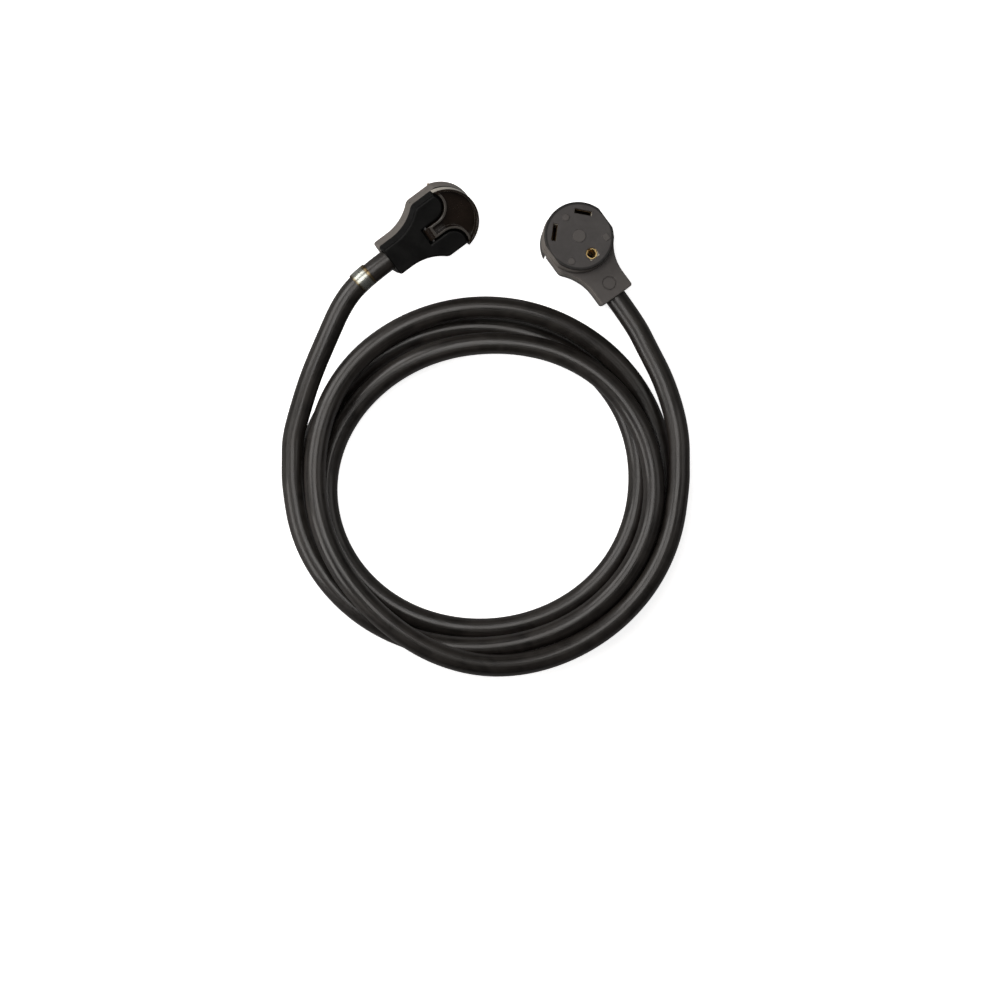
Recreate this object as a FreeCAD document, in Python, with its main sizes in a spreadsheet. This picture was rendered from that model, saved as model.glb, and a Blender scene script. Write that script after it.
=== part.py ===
import FreeCAD, Part
import math
import os
import Sketcher
from FreeCAD import Vector

# Shore power cord: a heavy three-wire cord, coiled on the ground, with a bladed plug on one end
# and a socket connector on the other. Both ends are the same moulded head: a front shell, a back
# cover with two rounded lobes, and an anchor-shaped pull handle that folds out between the lobes.
# A head is built in its own frame: X from the cord end to the nose, Z out of the contact face.

DOCUMENT = FreeCAD.newDocument("shore_power_cord")
SHEET = DOCUMENT.addObject("Spreadsheet::Sheet", "Sizes")

# Name, value and meaning of every driving size, in millimetres or degrees.
SIZE_TABLE = [
    ("cord_diameter", 16.2, "outer diameter of the jacket"),
    ("cord_clearance", 0.25, "gap between the jacket and the neck bore"),
    ("neck_width", 27.3, "width of the neck of a head"),
    ("front_depth", 10.8, "front face of the neck, above the middle of the cord"),
    ("back_depth", 11.2, "back face, below the middle of the cord"),
    ("side_draft", 4.0, "slope of the front shell's sides, narrower towards the back"),
    ("cover_draft", 7.0, "slope of the back cover's sides"),
    ("neck_straight", 12.5, "length of the straight sides of the neck"),
    ("flank_radius", 34.0, "radius of the hollow flank between neck and shoulder"),
    ("nose_radius", 26.2, "radius of the round nose"),
    ("nose_flat", 1.4, "how far the flat sides cut into the circle of the nose"),
    ("neck_length", 25.0, "distance from the cord end to the circle of the nose"),
    ("disc_inset", 0.3, "step from the nose outline to the contact disc"),
    ("disc_rise", 11.0, "height of the connector's contact disc above the neck"),
    ("plug_rise", 5.0, "height of the plug's contact disc above the neck"),
    ("plug_inset", 1.6, "how much smaller the plug's contact disc is than the connector's"),
    ("disc_round", 1.0, "round of the contact disc's rim"),
    ("wall", 2.4, "wall of the shells"),
    ("end_wall", 5.0, "wall at the cord end"),
    ("parting_depth", 1.4, "parting plane, behind the middle of the head"),
    ("cover_plate", 1.8, "base plate of the back cover"),
    ("fit_gap", 0.1, "gap between parts that seat in each other"),
    ("cut_margin", 1.0, "how far a cutting shape runs past what it cuts"),
    ("neck_round", 2.0, "round of the upright edges at the neck"),
    ("shoulder_round", 6.0, "round of the shoulder"),
    ("edge_round", 0.6, "round of the front edge of the neck"),
    ("cover_round", 1.6, "round of the back cover's outer edge"),
    ("rim_height", 1.5, "height of the locating rim inside the shell"),
    ("rim_width", 1.4, "width of the locating rim"),
    ("slot_start", 32.4, "inner end of the handle slot"),
    ("slot_half", 6.5, "half width of the handle slot"),
    ("lobe_share", 0.574, "radius of a lobe, as a share of the width beside the handle slot"),
    ("lobe_setback", 4.7, "distance of the lobes' centres behind the centre of the nose"),
    ("handle_gap", 1.5, "gap between the handle and the lobes"),
    ("handle_lift", 0.3, "gap under the folded handle"),
    ("handle_thickness", 7.7, "thickness of the handle"),
    ("handle_round", 0.5, "round of the rim of the handle's wall"),
    ("handle_inset", 1.0, "step from the nose outline to the handle"),
    ("dish_border", 1.7, "wall round the handle's dish"),
    ("dish_depth", 6.1, "depth of the dish inside the wall"),
    ("dish_offset", 2.9, "distance from the hinge to the wall of the dish"),
    ("hinge_x", 36.0, "distance from the cord end to the hinge"),
    ("hinge_depth", 2.9, "hinge axis, in front of the back face"),
    ("hinge_eye", 2.0, "outer radius of the handle's hinge eye"),
    ("pin_radius", 1.2, "radius of the hinge pin"),
    ("pin_bearing_depth", 3.0, "depth of the hinge pin in each lobe"),
    ("pin_clearance", 0.05, "radial clearance of the hinge pin in the handle"),
    ("handle_open", 90.0, "angle that the handle folds out"),
    ("carrier_clearance", 0.4, "gap between the carrier and the shell"),
    ("carrier_depth", 10.8, "thickness of the contact carrier"),
    ("contact_angle", 46.0, "angle of each flat contact from the nose direction"),
    ("contact_edge", 7.6, "distance of a flat contact from the edge of the disc"),
    ("ground_edge", 10.1, "distance of the ground contact from the edge of the disc"),
    ("blade_width", 12.4, "width of a flat blade"),
    ("blade_thickness", 1.85, "thickness of a flat blade"),
    ("blade_reach", 17.5, "length of a blade outside the face"),
    ("blade_tip_chamfer", 0.6, "chamfer at a blade's tip"),
    ("foot_length", 11.0, "length of a contact's foot towards the middle"),
    ("foot_thickness", 1.5, "thickness of a contact's foot"),
    ("foot_width", 9.0, "width of a contact's foot"),
    ("ground_pin_radius", 3.175, "radius of the ground pin"),
    ("ground_pin_reach", 20.6, "length of the ground pin outside the face"),
    ("slot_length", 13.3, "length of a socket slot"),
    ("slot_width", 3.6, "width of a socket slot"),
    ("clip_leaf", 0.8, "thickness of a contact leaf"),
    ("clip_mouth", 2.2, "gap between the leaves of a flat contact"),
    ("clip_recess", 1.4, "depth of the ground contact behind the face"),
    ("clip_depth", 1.0, "room under a blade's tip in its contact"),
    ("ground_bore", 3.25, "bore radius of the ground contact"),
    ("ground_flange", 1.2, "width and thickness of the ground contact's flange"),
    ("ground_stem", 2.6, "radius of the ground pin inside the plug"),
    ("ground_wall", 0.8, "wall of the ground contact"),
    ("ground_split", 2.0, "width of the slit in the ground contact"),
    ("ground_hole_half", 4.3, "half width of the ground opening in the face"),
    ("ground_hole_flat", 4.4, "distance from the ground opening's centre to its flat"),
    ("screw_distance", 6.5, "terminal screw, inward from its contact"),
    ("screw_radius", 1.4, "radius of a terminal screw"),
    ("screw_head", 2.6, "radius of a terminal screw's head"),
    ("screw_head_depth", 2.4, "thickness of a terminal screw's head"),
    ("screw_bite", 4.6, "depth of a terminal screw in the carrier"),
    ("jacket_end", 29.4, "where the jacket stops inside a head"),
    ("wire_radius", 2.2, "radius of an insulated wire"),
    ("wire_pitch", 5.3, "distance between wires at the jacket end"),
    ("wire_bend", 12.0, "radius of a wire's first bend"),
    ("wire_swing", 30.0, "angle of a wire's first bend"),
    ("clamp_x", 24.4, "where the cord clamp starts"),
    ("clamp_length", 5.0, "length of the cord clamp"),
    ("clamp_strap", 1.4, "thickness of the clamp's strap"),
    ("clamp_ear", 2.8, "width of each ear of the clamp"),
    ("post_level", 3.3, "height of the clamp posts above the middle of the head"),
    ("post_radius", 2.2, "radius of a clamp post"),
    ("clamp_screw_radius", 1.0, "radius of a clamp screw"),
    ("clamp_screw_head", 1.35, "radius of a clamp screw's head"),
    ("clamp_screw_bite", 5.0, "depth of a clamp screw in its post"),
    ("boss_radius", 4.8, "radius of the round mark in the middle of the face"),
    ("mark_height", 0.4, "height of the marks on the connector's face"),
    ("peg_radius", 2.6, "radius of the small round marks"),
    ("peg_edge", 5.8, "distance of the side marks from the edge of the disc"),
    ("peg_nose_edge", 9.0, "distance of the mark near the nose from the edge of the disc"),
    ("peg_angle", 127.0, "angle of the side marks from the nose direction"),
    ("ring_radius", 5.2, "radius of the ring mark on the neck"),
    ("ring_width", 0.7, "width of the ring mark on the neck"),
    ("ring_x", 10.8, "distance from the cord end to the ring mark"),
    ("band_start", 15.5, "where the band on the cord starts, from the plug"),
    ("band_length", 12.2, "length of the band on the cord"),
    ("band_thickness", 0.35, "thickness of the band on the cord"),
    ("plug_x", -71.5, "plug's cord end, from the middle of the coil"),
    ("plug_y", 164.0, "plug's cord end, from the middle of the coil"),
    ("plug_turn", 37.0, "direction of the plug's nose"),
    ("plug_roll", 207.0, "roll of the plug about its length"),
    ("connector_x", 97.8, "connector's cord end, from the middle of the coil"),
    ("connector_y", 139.5, "connector's cord end, from the middle of the coil"),
    ("connector_turn", 126.0, "direction of the connector's nose"),
    ("connector_roll", 8.0, "roll of the connector about its length"),
    ("exit_run", 24.0, "straight cord outside each head"),
    ("coil_x", -14.1, "middle of the coil"),
    ("coil_y", -179.1, "middle of the coil"),
    ("coil_half_width", 116.0, "innermost turn, half its width at the middle of the cord"),
    ("coil_half_depth", 105.3, "innermost turn, half its depth at the middle of the cord"),
    ("lane_step", 8.7, "half the distance between turns that lie side by side"),
    ("layer_step", 16.8, "height from one layer of turns to the next"),
    ("floor_gap", 0.05, "gap between the cord and the floor"),
]


class Formula:
    """A size together with the sheet expression that gives it."""

    def __init__(self, value, text):
        self.value = value
        self.text = text

    def join(self, other, sign, result):
        return Formula(result, f"({self.text} {sign} {other.text})")

    def __add__(self, other):
        other = formula(other)
        return self.join(other, "+", self.value + other.value)

    def __sub__(self, other):
        other = formula(other)
        return self.join(other, "-", self.value - other.value)

    def __mul__(self, other):
        other = formula(other)
        return self.join(other, "*", self.value * other.value)

    def __truediv__(self, other):
        other = formula(other)
        return self.join(other, "/", self.value / other.value)

    def __radd__(self, other):
        return formula(other) + self

    def __rsub__(self, other):
        return formula(other) - self

    def __rmul__(self, other):
        return formula(other) * self

    def __neg__(self):
        return formula(0.0) - self


def formula(number):
    """The number as a formula, unless it is one already."""
    if isinstance(number, Formula):
        return number
    text = repr(float(number))
    return Formula(float(number), f"({text})" if number < 0 else text)


def root(number):
    return Formula(math.sqrt(number.value), f"sqrt({number.text})")


def cosine(angle):
    angle = formula(angle)
    return Formula(math.cos(math.radians(angle.value)), f"cos({angle.text} * 1deg)")


def sine(angle):
    angle = formula(angle)
    return Formula(math.sin(math.radians(angle.value)), f"sin({angle.text} * 1deg)")


class Sizes:
    """Every driving size, by name."""


def fill_sheet():
    sizes = Sizes()
    for row, (name, value, meaning) in enumerate(SIZE_TABLE, start=1):
        SHEET.set(f"A{row}", name)
        SHEET.set(f"B{row}", str(value))
        SHEET.set(f"C{row}", meaning)
        SHEET.setAlias(f"B{row}", name)
        setattr(sizes, name, Formula(value, f"Sizes.{name}"))
    DOCUMENT.recompute()
    return sizes


S = fill_sheet()


def bind(thing, prop, size):
    """Sets a property from a formula and keeps it bound to the sheet."""
    thing.setExpression(prop, formula(size).text)


def make(kind, name):
    return DOCUMENT.addObject(kind, name)


# Sketches and features of a PartDesign body.

def new_body(name):
    body = make("PartDesign::Body", name)
    body.Label = name
    return body


def origin_plane(body, role):
    for feature in body.Origin.OriginFeatures:
        if feature.Role == role:
            return feature
    raise ValueError(role)


def new_sketch(body, name, role="XY_Plane", height=0.0):
    sketch = body.newObject("Sketcher::SketchObject", name)
    sketch.AttachmentSupport = [(origin_plane(body, role), "")]
    sketch.MapMode = "FlatFace"
    bind(sketch, ".AttachmentOffset.Base.z", height)
    return sketch


def pin_point(sketch, index, position, x=None, y=None):
    """Holds one point of a sketch at a formula distance from the origin."""
    for kind, size in (("DistanceX", x), ("DistanceY", y)):
        if size is not None:
            size = formula(size)
            number = sketch.addConstraint(Sketcher.Constraint(kind, -1, 1, index, position, size.value))
            sketch.setExpression(f"Constraints[{number}]", size.text)


def draw_path(sketch, start, pieces, closed=False):
    """Draws a path or outline. A piece is ("line", end) or ("arc", end, centre, leftwards)."""
    point = start
    ends = []
    for piece in pieces:
        end = piece[1]
        first = Vector(point[0].value, point[1].value, 0)
        last = Vector(end[0].value, end[1].value, 0)
        if piece[0] == "line":
            index = sketch.addGeometry(Part.LineSegment(first, last))
            ends.append((index, 1, 2, point))
        else:
            centre = Vector(piece[2][0].value, piece[2][1].value, 0)
            circle = Part.Circle(centre, Vector(0, 0, 1), (first - centre).Length)
            angles = [math.atan2(spot.y - centre.y, spot.x - centre.x) for spot in (first, last)]
            if not piece[3]:
                angles.reverse()
            if angles[1] <= angles[0]:
                angles[1] += 2 * math.pi
            index = sketch.addGeometry(Part.ArcOfCircle(circle, angles[0], angles[1]))
            ends.append((index, 1, 2, point) if piece[3] else (index, 2, 1, point))
            chord = last - first
            if abs(chord.x) > abs(chord.y):
                pin_point(sketch, index, 3, y=piece[2][1])
            else:
                pin_point(sketch, index, 3, x=piece[2][0])
        point = end
    for number, (index, first, last, corner) in enumerate(ends):
        pin_point(sketch, index, first, corner[0], corner[1])
        if closed or number + 1 < len(ends):
            following = ends[(number + 1) % len(ends)]
            sketch.addConstraint(Sketcher.Constraint("Coincident", index, last, following[0], following[1]))
        else:
            pin_point(sketch, index, last, point[0], point[1])


def draw_outline(sketch, start, pieces):
    draw_path(sketch, start, pieces, closed=True)


def draw_circle(sketch, x, y, radius):
    x, y, radius = formula(x), formula(y), formula(radius)
    circle = Part.Circle(Vector(x.value, y.value, 0), Vector(0, 0, 1), radius.value)
    index = sketch.addGeometry(circle)
    pin_point(sketch, index, 3, x, y)
    number = sketch.addConstraint(Sketcher.Constraint("Radius", index, radius.value))
    sketch.setExpression(f"Constraints[{number}]", radius.text)


def draw_block(sketch, x, y, length, width, angle=0.0):
    """Draws a rectangle of that length and width, turned about its centre."""
    along = (cosine(angle) * length / 2, sine(angle) * length / 2)
    across = (sine(angle) * width / -2, cosine(angle) * width / 2)
    corners = []
    for first, second in ((1, 1), (-1, 1), (-1, -1), (1, -1)):
        corner_x = x + along[0] * first + across[0] * second
        corner_y = y + along[1] * first + across[1] * second
        corners.append((corner_x, corner_y))
    draw_outline(sketch, corners[0], [("line", corner) for corner in corners[1:] + corners[:1]])


def pad(body, sketch, name, length, reverse=False, middle=False, draft=None):
    """Pads a sketch. With a draft, the sides slope inwards by that angle."""
    feature = body.newObject("PartDesign::Pad", name)
    feature.Profile = sketch
    feature.Reversed = reverse
    feature.Midplane = middle
    bind(feature, "Length", length)
    if draft is not None:
        bind(feature, "TaperAngle", -draft)
    DOCUMENT.recompute()
    return feature


def pocket(body, sketch, name, length, reverse=False, middle=False):
    before = body.Shape.Volume
    feature = body.newObject("PartDesign::Pocket", name)
    feature.Profile = sketch
    feature.Reversed = reverse
    feature.Midplane = middle
    bind(feature, "Length", length)
    DOCUMENT.recompute()
    if not body.Shape.Volume < before:
        raise ValueError(f"{name} cuts nothing")
    return feature


def edge_names(shape, wanted):
    return [f"Edge{number}" for number, edge in enumerate(shape.Edges, start=1) if wanted(edge)]


def fillet(body, name, radius, wanted):
    base = body.Tip
    feature = body.newObject("PartDesign::Fillet", name)
    feature.Base = (base, edge_names(base.Shape, wanted))
    bind(feature, "Radius", radius)
    DOCUMENT.recompute()
    return feature


def chamfer(body, name, size, wanted):
    base = body.Tip
    feature = body.newObject("PartDesign::Chamfer", name)
    feature.Base = (base, edge_names(base.Shape, wanted))
    bind(feature, "Size", size)
    DOCUMENT.recompute()
    return feature


def lies_at(edge, height):
    """Whether the whole edge lies in the level plane at that height."""
    box = edge.BoundBox
    level = formula(height).value
    return abs(box.ZMin - level) < 1e-4 and abs(box.ZMax - level) < 1e-4


def stands_near(edge, x, y):
    """Whether the edge runs from front to back near that x and that distance from the middle."""
    box = edge.BoundBox
    near = 4.0
    steep = box.ZLength > box.XLength and box.ZLength > box.YLength
    middle = edge.CenterOfMass
    return steep and abs(middle.x - x.value) < near and abs(abs(middle.y) - y.value) < near


# Primitives and booleans.

def cylinder(name, radius, height, x, y, z, axis="Z"):
    """A cylinder that starts at that point and runs along the named axis."""
    thing = make("Part::Cylinder", name)
    bind(thing, "Radius", radius)
    bind(thing, "Height", height)
    turns = {"X": FreeCAD.Rotation(Vector(0, 1, 0), 90), "Y": FreeCAD.Rotation(Vector(1, 0, 0), -90)}
    thing.Placement = FreeCAD.Placement(Vector(0, 0, 0), turns.get(axis, FreeCAD.Rotation()))
    for letter, size in (("x", x), ("y", y), ("z", z)):
        bind(thing, f".Placement.Base.{letter}", size)
    return thing


def box(name, length, width, height, x, y, z):
    thing = make("Part::Box", name)
    bind(thing, "Length", length)
    bind(thing, "Width", width)
    bind(thing, "Height", height)
    for letter, size in (("x", x), ("y", y), ("z", z)):
        bind(thing, f".Placement.Base.{letter}", size)
    return thing


def turned_box(name, radius, thickness, width, height, z, angle):
    """A box across the radius of the contact disc, centred at that radius and angle."""
    half_thickness = formula(thickness) / 2
    half_width = formula(width) / 2
    corner_x = NOSE_CENTRE + cosine(angle) * (radius - half_thickness) + sine(angle) * half_width
    corner_y = sine(angle) * (radius - half_thickness) - cosine(angle) * half_width
    thing = box(name, thickness, width, height, corner_x, corner_y, z)
    bind(thing, ".Placement.Rotation.Angle", angle)
    return thing


def fuse(name, things):
    thing = make("Part::MultiFuse", name)
    thing.Shapes = things
    thing.Label = name
    return thing


def cut(name, base, tools):
    thing = make("Part::Cut", name)
    thing.Base = base
    thing.Tool = tools[0] if len(tools) == 1 else fuse(f"{name}_tools", tools)
    thing.Label = name
    return thing


def group(name, things):
    """Separate solids that share one node."""
    thing = make("Part::Compound", name)
    thing.Links = things
    thing.Label = name
    return thing


# Levels and outlines that the pieces of a head share.

CORD_RADIUS = S.cord_diameter / 2
NECK_HALF = S.neck_width / 2
FRONT = S.front_depth
BACK = -S.back_depth
FACE = FRONT + S.disc_rise
PLUG_FACE = FRONT + S.plug_rise
PARTING = -S.parting_depth
PLATE_TOP = PARTING - S.cover_plate
HINGE_Z = BACK + S.hinge_depth
HANDLE_TOP = PLATE_TOP - S.handle_lift
PARTING_INSET = (FRONT - PARTING) * sine(S.side_draft) / cosine(S.side_draft)
NOSE_CENTRE = S.neck_length + S.nose_radius
SHOULDER_HALF = S.nose_radius - S.nose_flat
LOBE_CENTRE = NOSE_CENTRE - S.lobe_setback
LOBE_RADIUS = (SHOULDER_HALF - S.slot_half) * S.lobe_share
LOBE_Y = S.slot_half + LOBE_RADIUS
DISC_RADIUS = S.nose_radius - S.disc_inset
CONTACT_RADIUS = DISC_RADIUS - S.contact_edge
GROUND_RADIUS = DISC_RADIUS - S.ground_edge
CAVITY_ROOF = FACE - S.wall
CARRIER_BACK = CAVITY_ROOF - S.fit_gap - S.carrier_depth
FOOT_BACK = CARRIER_BACK - S.fit_gap - S.foot_thickness
SCREW_BACK = FOOT_BACK - S.fit_gap - S.screw_head_depth
WIRE_Z = SCREW_BACK - S.fit_gap - S.wire_radius
OVERRUN = S.cut_margin * 2
ZERO = formula(0.0)
SIDES = (1, -1)


def face_level(is_plug):
    return PLUG_FACE if is_plug else FACE


def mirrored(point):
    return (point[0], -point[1])


def circles_meet(first, first_radius, second, second_radius):
    """Where two circles cross, on the side of larger x."""
    step_x = second[0] - first[0]
    step_y = second[1] - first[1]
    apart = root(step_x * step_x + step_y * step_y)
    along = (first_radius * first_radius - second_radius * second_radius + apart * apart) / (apart * 2)
    aside = root(first_radius * first_radius - along * along)
    meet_x = first[0] + (step_x * along - step_y * aside) / apart
    meet_y = first[1] + (step_y * along + step_x * aside) / apart
    return (meet_x, meet_y)


def flank_points(inset):
    """The corner where the neck's side ends, the centre of its flank and the shoulder."""
    side = NECK_HALF - inset
    centre = (S.neck_straight, NECK_HALF + S.flank_radius)
    reach = S.flank_radius + inset
    top = SHOULDER_HALF - inset
    rise = centre[1] - top
    shoulder_x = centre[0] + root(reach * reach - rise * rise)
    return (S.neck_straight, side), centre, (shoulder_x, top)


def head_outline(sketch, inset, start_x):
    """The whole outline of a head: neck, hollow flanks, flat shoulders and round nose."""
    side, centre, shoulder = flank_points(inset)
    corner = (start_x, side[1])
    radius = S.nose_radius - inset
    nose = (NOSE_CENTRE + root(radius * radius - shoulder[1] * shoulder[1]), shoulder[1])
    pieces = [
        ("line", mirrored(side)),
        ("arc", mirrored(shoulder), mirrored(centre), False),
        ("line", mirrored(nose)),
        ("arc", nose, (NOSE_CENTRE, ZERO), True),
        ("line", shoulder),
        ("arc", side, centre, False),
        ("line", corner),
        ("line", mirrored(corner)),
    ]
    draw_outline(sketch, mirrored(corner), pieces)


def disc_outline(sketch, is_plug, inset):
    """The contact disc: a circle with two flat sides. The plug's is a little smaller."""
    inset = inset + S.plug_inset if is_plug else inset
    radius = DISC_RADIUS - inset
    half = SHOULDER_HALF - S.disc_inset - inset
    reach = root(radius * radius - half * half)
    centre = (NOSE_CENTRE, ZERO)
    front = (NOSE_CENTRE + reach, half)
    rear = (NOSE_CENTRE - reach, half)
    pieces = [
        ("line", mirrored(front)),
        ("arc", front, centre, True),
        ("line", rear),
        ("arc", mirrored(rear), centre, True),
    ]
    draw_outline(sketch, mirrored(rear), pieces)


def recess_outline(sketch):
    """Where the handle folds away: the slot, and all that lies beyond the two round lobes."""
    reach = SHOULDER_HALF - LOBE_Y
    tip = (LOBE_CENTRE + root(LOBE_RADIUS * LOBE_RADIUS - reach * reach), SHOULDER_HALF)
    lobe = (LOBE_CENTRE, LOBE_Y)
    inner = (LOBE_CENTRE, S.slot_half)
    slot = (S.slot_start, S.slot_half)
    beyond = (NOSE_CENTRE + S.nose_radius + S.cut_margin, SHOULDER_HALF)
    pieces = [
        ("line", mirrored(inner)),
        ("arc", mirrored(tip), mirrored(lobe), False),
        ("line", mirrored(beyond)),
        ("line", beyond),
        ("line", tip),
        ("arc", inner, lobe, False),
        ("line", slot),
        ("line", mirrored(slot)),
    ]
    draw_outline(sketch, mirrored(slot), pieces)


def anchor_outline(sketch, start_x, border):
    """The handle's outline: a stem that flares round the lobes into a crescent, less a border."""
    lobe = (LOBE_CENTRE, LOBE_Y)
    hollow = LOBE_RADIUS + S.handle_gap + border
    rim = S.nose_radius - S.handle_inset - border
    stem = (start_x, LOBE_Y - hollow)
    neck = (LOBE_CENTRE, stem[1])
    tip = circles_meet(lobe, hollow, (NOSE_CENTRE, ZERO), rim)
    pieces = [
        ("line", mirrored(neck)),
        ("arc", mirrored(tip), mirrored(lobe), False),
        ("arc", tip, (NOSE_CENTRE, ZERO), True),
        ("arc", neck, lobe, False),
        ("line", stem),
        ("line", mirrored(stem)),
    ]
    draw_outline(sketch, mirrored(stem), pieces)


# The moulded pieces of a head.

def cord_bore(body, start, length):
    """Cuts the channel that the jacket lies in, from a plane across the head."""
    sketch = new_sketch(body, f"{body.Label}_bore_sketch", "YZ_Plane", start)
    draw_circle(sketch, ZERO, ZERO, CORD_RADIUS + S.cord_clearance)
    pocket(body, sketch, f"{body.Label}_bore", length, reverse=True)


def front_shell(name, is_plug):
    body = new_body(name)
    sketch = new_sketch(body, f"{name}_outline", height=FRONT)
    head_outline(sketch, ZERO, ZERO)
    pad(body, sketch, f"{name}_body", FRONT - PARTING, reverse=True, draft=S.side_draft)
    round_corners(body)
    fillet(body, f"{name}_front_rim", S.edge_round, lambda edge: lies_at(edge, FRONT))
    sketch = new_sketch(body, f"{name}_disc_outline", height=FRONT - S.wall)
    disc_outline(sketch, is_plug, ZERO)
    face = face_level(is_plug)
    pad(body, sketch, f"{name}_disc", face - FRONT + S.wall)
    fillet(body, f"{name}_disc_rim", S.disc_round, lambda edge: lies_at(edge, face))
    if not is_plug:
        face_marks(body)
    sketch = new_sketch(body, f"{name}_cavity_outline", height=PARTING)
    head_outline(sketch, PARTING_INSET + S.wall, S.end_wall)
    pocket(body, sketch, f"{name}_cavity", FRONT - PARTING - S.wall, reverse=True)
    sketch = new_sketch(body, f"{name}_disc_cavity_outline", height=FRONT - S.wall * 2)
    disc_outline(sketch, is_plug, S.wall)
    pocket(body, sketch, f"{name}_disc_cavity", face - FRONT + S.wall, reverse=True)
    cord_bore(body, -S.fit_gap, S.end_wall + S.fit_gap * 2)
    sketch = new_sketch(body, f"{name}_contact_outline", height=face + S.mark_height)
    face_openings(sketch, is_plug)
    pocket(body, sketch, f"{name}_contact_openings", S.wall + S.mark_height + S.fit_gap)
    clamp_posts(body)
    return body


def face_openings(sketch, is_plug):
    """Two slots across the radius, and a round or flat-sided ground opening."""
    length = S.blade_width + S.fit_gap * 2 if is_plug else S.slot_length
    width = S.blade_thickness + S.fit_gap * 2 if is_plug else S.slot_width
    for side in SIDES:
        angle = S.contact_angle * side
        slot_x = NOSE_CENTRE + cosine(angle) * CONTACT_RADIUS
        slot_y = sine(angle) * CONTACT_RADIUS
        draw_block(sketch, slot_x, slot_y, width, length, angle)
    ground_x = NOSE_CENTRE - GROUND_RADIUS
    if is_plug:
        draw_circle(sketch, ground_x, ZERO, S.ground_stem + S.fit_gap)
        return
    half = S.ground_hole_half
    flat_x = ground_x - S.ground_hole_flat
    pieces = [
        ("line", (ground_x, -half)),
        ("arc", (ground_x, half), (ground_x, ZERO), True),
        ("line", (flat_x, half)),
        ("line", (flat_x, -half)),
    ]
    draw_outline(sketch, (flat_x, -half), pieces)


def face_marks(body):
    """The low round and square marks that the mould leaves on the connector's face and neck."""
    sketch = new_sketch(body, f"{body.Label}_marks_outline", height=FACE - S.fit_gap)
    draw_circle(sketch, NOSE_CENTRE, ZERO, S.boss_radius)
    draw_circle(sketch, NOSE_CENTRE + DISC_RADIUS - S.peg_nose_edge, ZERO, S.peg_radius)
    side_x = NOSE_CENTRE + cosine(S.peg_angle) * (DISC_RADIUS - S.peg_edge)
    side_y = sine(S.peg_angle) * (DISC_RADIUS - S.peg_edge)
    draw_circle(sketch, side_x, side_y, S.peg_radius)
    draw_block(sketch, side_x, -side_y, S.peg_radius * 2, S.peg_radius * 1.6)
    pad(body, sketch, f"{body.Label}_marks", S.mark_height + S.fit_gap)
    sketch = new_sketch(body, f"{body.Label}_ring_outline", height=FRONT)
    draw_circle(sketch, S.ring_x, ZERO, S.ring_radius)
    draw_circle(sketch, S.ring_x, ZERO, S.ring_radius - S.ring_width)
    pocket(body, sketch, f"{body.Label}_ring", S.mark_height)


def clamp_posts(body):
    """Two posts that the cord clamp is screwed to."""
    middle = S.clamp_x + S.clamp_length / 2
    sketch = new_sketch(body, f"{body.Label}_posts_outline", height=S.post_level)
    for side in SIDES:
        draw_circle(sketch, middle, CLAMP_SCREW_Y * side, S.post_radius)
    pad(body, sketch, f"{body.Label}_posts", FRONT - S.wall - S.post_level)
    sketch = new_sketch(body, f"{body.Label}_pilots_outline", height=S.post_level)
    for side in SIDES:
        draw_circle(sketch, middle, CLAMP_SCREW_Y * side, S.clamp_screw_radius + S.pin_clearance)
    pocket(body, sketch, f"{body.Label}_pilots", S.clamp_screw_bite + S.fit_gap, reverse=True)


def back_cover(name):
    body = new_body(name)
    sketch = new_sketch(body, f"{name}_outline", height=PARTING)
    head_outline(sketch, PARTING_INSET, PARTING_INSET)
    pad(body, sketch, f"{name}_block", PARTING - BACK, reverse=True, draft=S.cover_draft)
    round_corners(body)
    sketch = new_sketch(body, f"{name}_recess_outline", height=BACK)
    recess_outline(sketch)
    pocket(body, sketch, f"{name}_recess", PLATE_TOP - BACK, reverse=True)
    fillet(body, f"{name}_back_rim", S.cover_round, lambda edge: outer_back_edge(edge))
    sketch = new_sketch(body, f"{name}_rim_outline", height=PARTING)
    inset = PARTING_INSET + S.wall + S.fit_gap
    head_outline(sketch, inset, S.end_wall + S.fit_gap)
    head_outline(sketch, inset + S.rim_width, S.end_wall + S.fit_gap + S.rim_width)
    pad(body, sketch, f"{name}_rim", S.rim_height)
    cord_bore(body, -S.fit_gap, S.jacket_end + S.fit_gap * 4)
    clamp_relief(body)
    sketch = new_sketch(body, f"{name}_hinge_outline", "XZ_Plane")
    draw_circle(sketch, S.hinge_x, HINGE_Z, S.pin_radius + S.pin_clearance / 2)
    pocket(body, sketch, f"{name}_hinge", (S.slot_half + S.pin_bearing_depth + S.fit_gap) * 2, middle=True)
    return body


def round_corners(body):
    """Rounds the edges that run from front to back at the shoulders and at the neck's end."""
    shoulder = flank_points(ZERO)[2]
    fillet(body, f"{body.Label}_shoulders", S.shoulder_round, lambda edge: stands_near(edge, *shoulder))
    fillet(body, f"{body.Label}_corners", S.neck_round, lambda edge: stands_near(edge, ZERO, NECK_HALF))


def outer_back_edge(edge):
    """Edges of the cover's back face that lie on its outline, not along the handle slot."""
    middle = edge.CenterOfMass
    inside_slot = middle.x > S.slot_start.value - 0.01 and abs(middle.y) < S.slot_half.value + 0.01
    return lies_at(edge, BACK) and not inside_slot


def clamp_relief(body):
    """Room for the strap of the cord clamp, under the neck of the cover."""
    start = S.clamp_x - S.fit_gap * 4
    sketch = new_sketch(body, f"{body.Label}_relief_outline", "YZ_Plane", start)
    draw_circle(sketch, ZERO, ZERO, CORD_RADIUS + S.clamp_strap + S.fit_gap * 3)
    pocket(body, sketch, f"{body.Label}_relief", S.clamp_length + S.fit_gap * 8, reverse=True)


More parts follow.
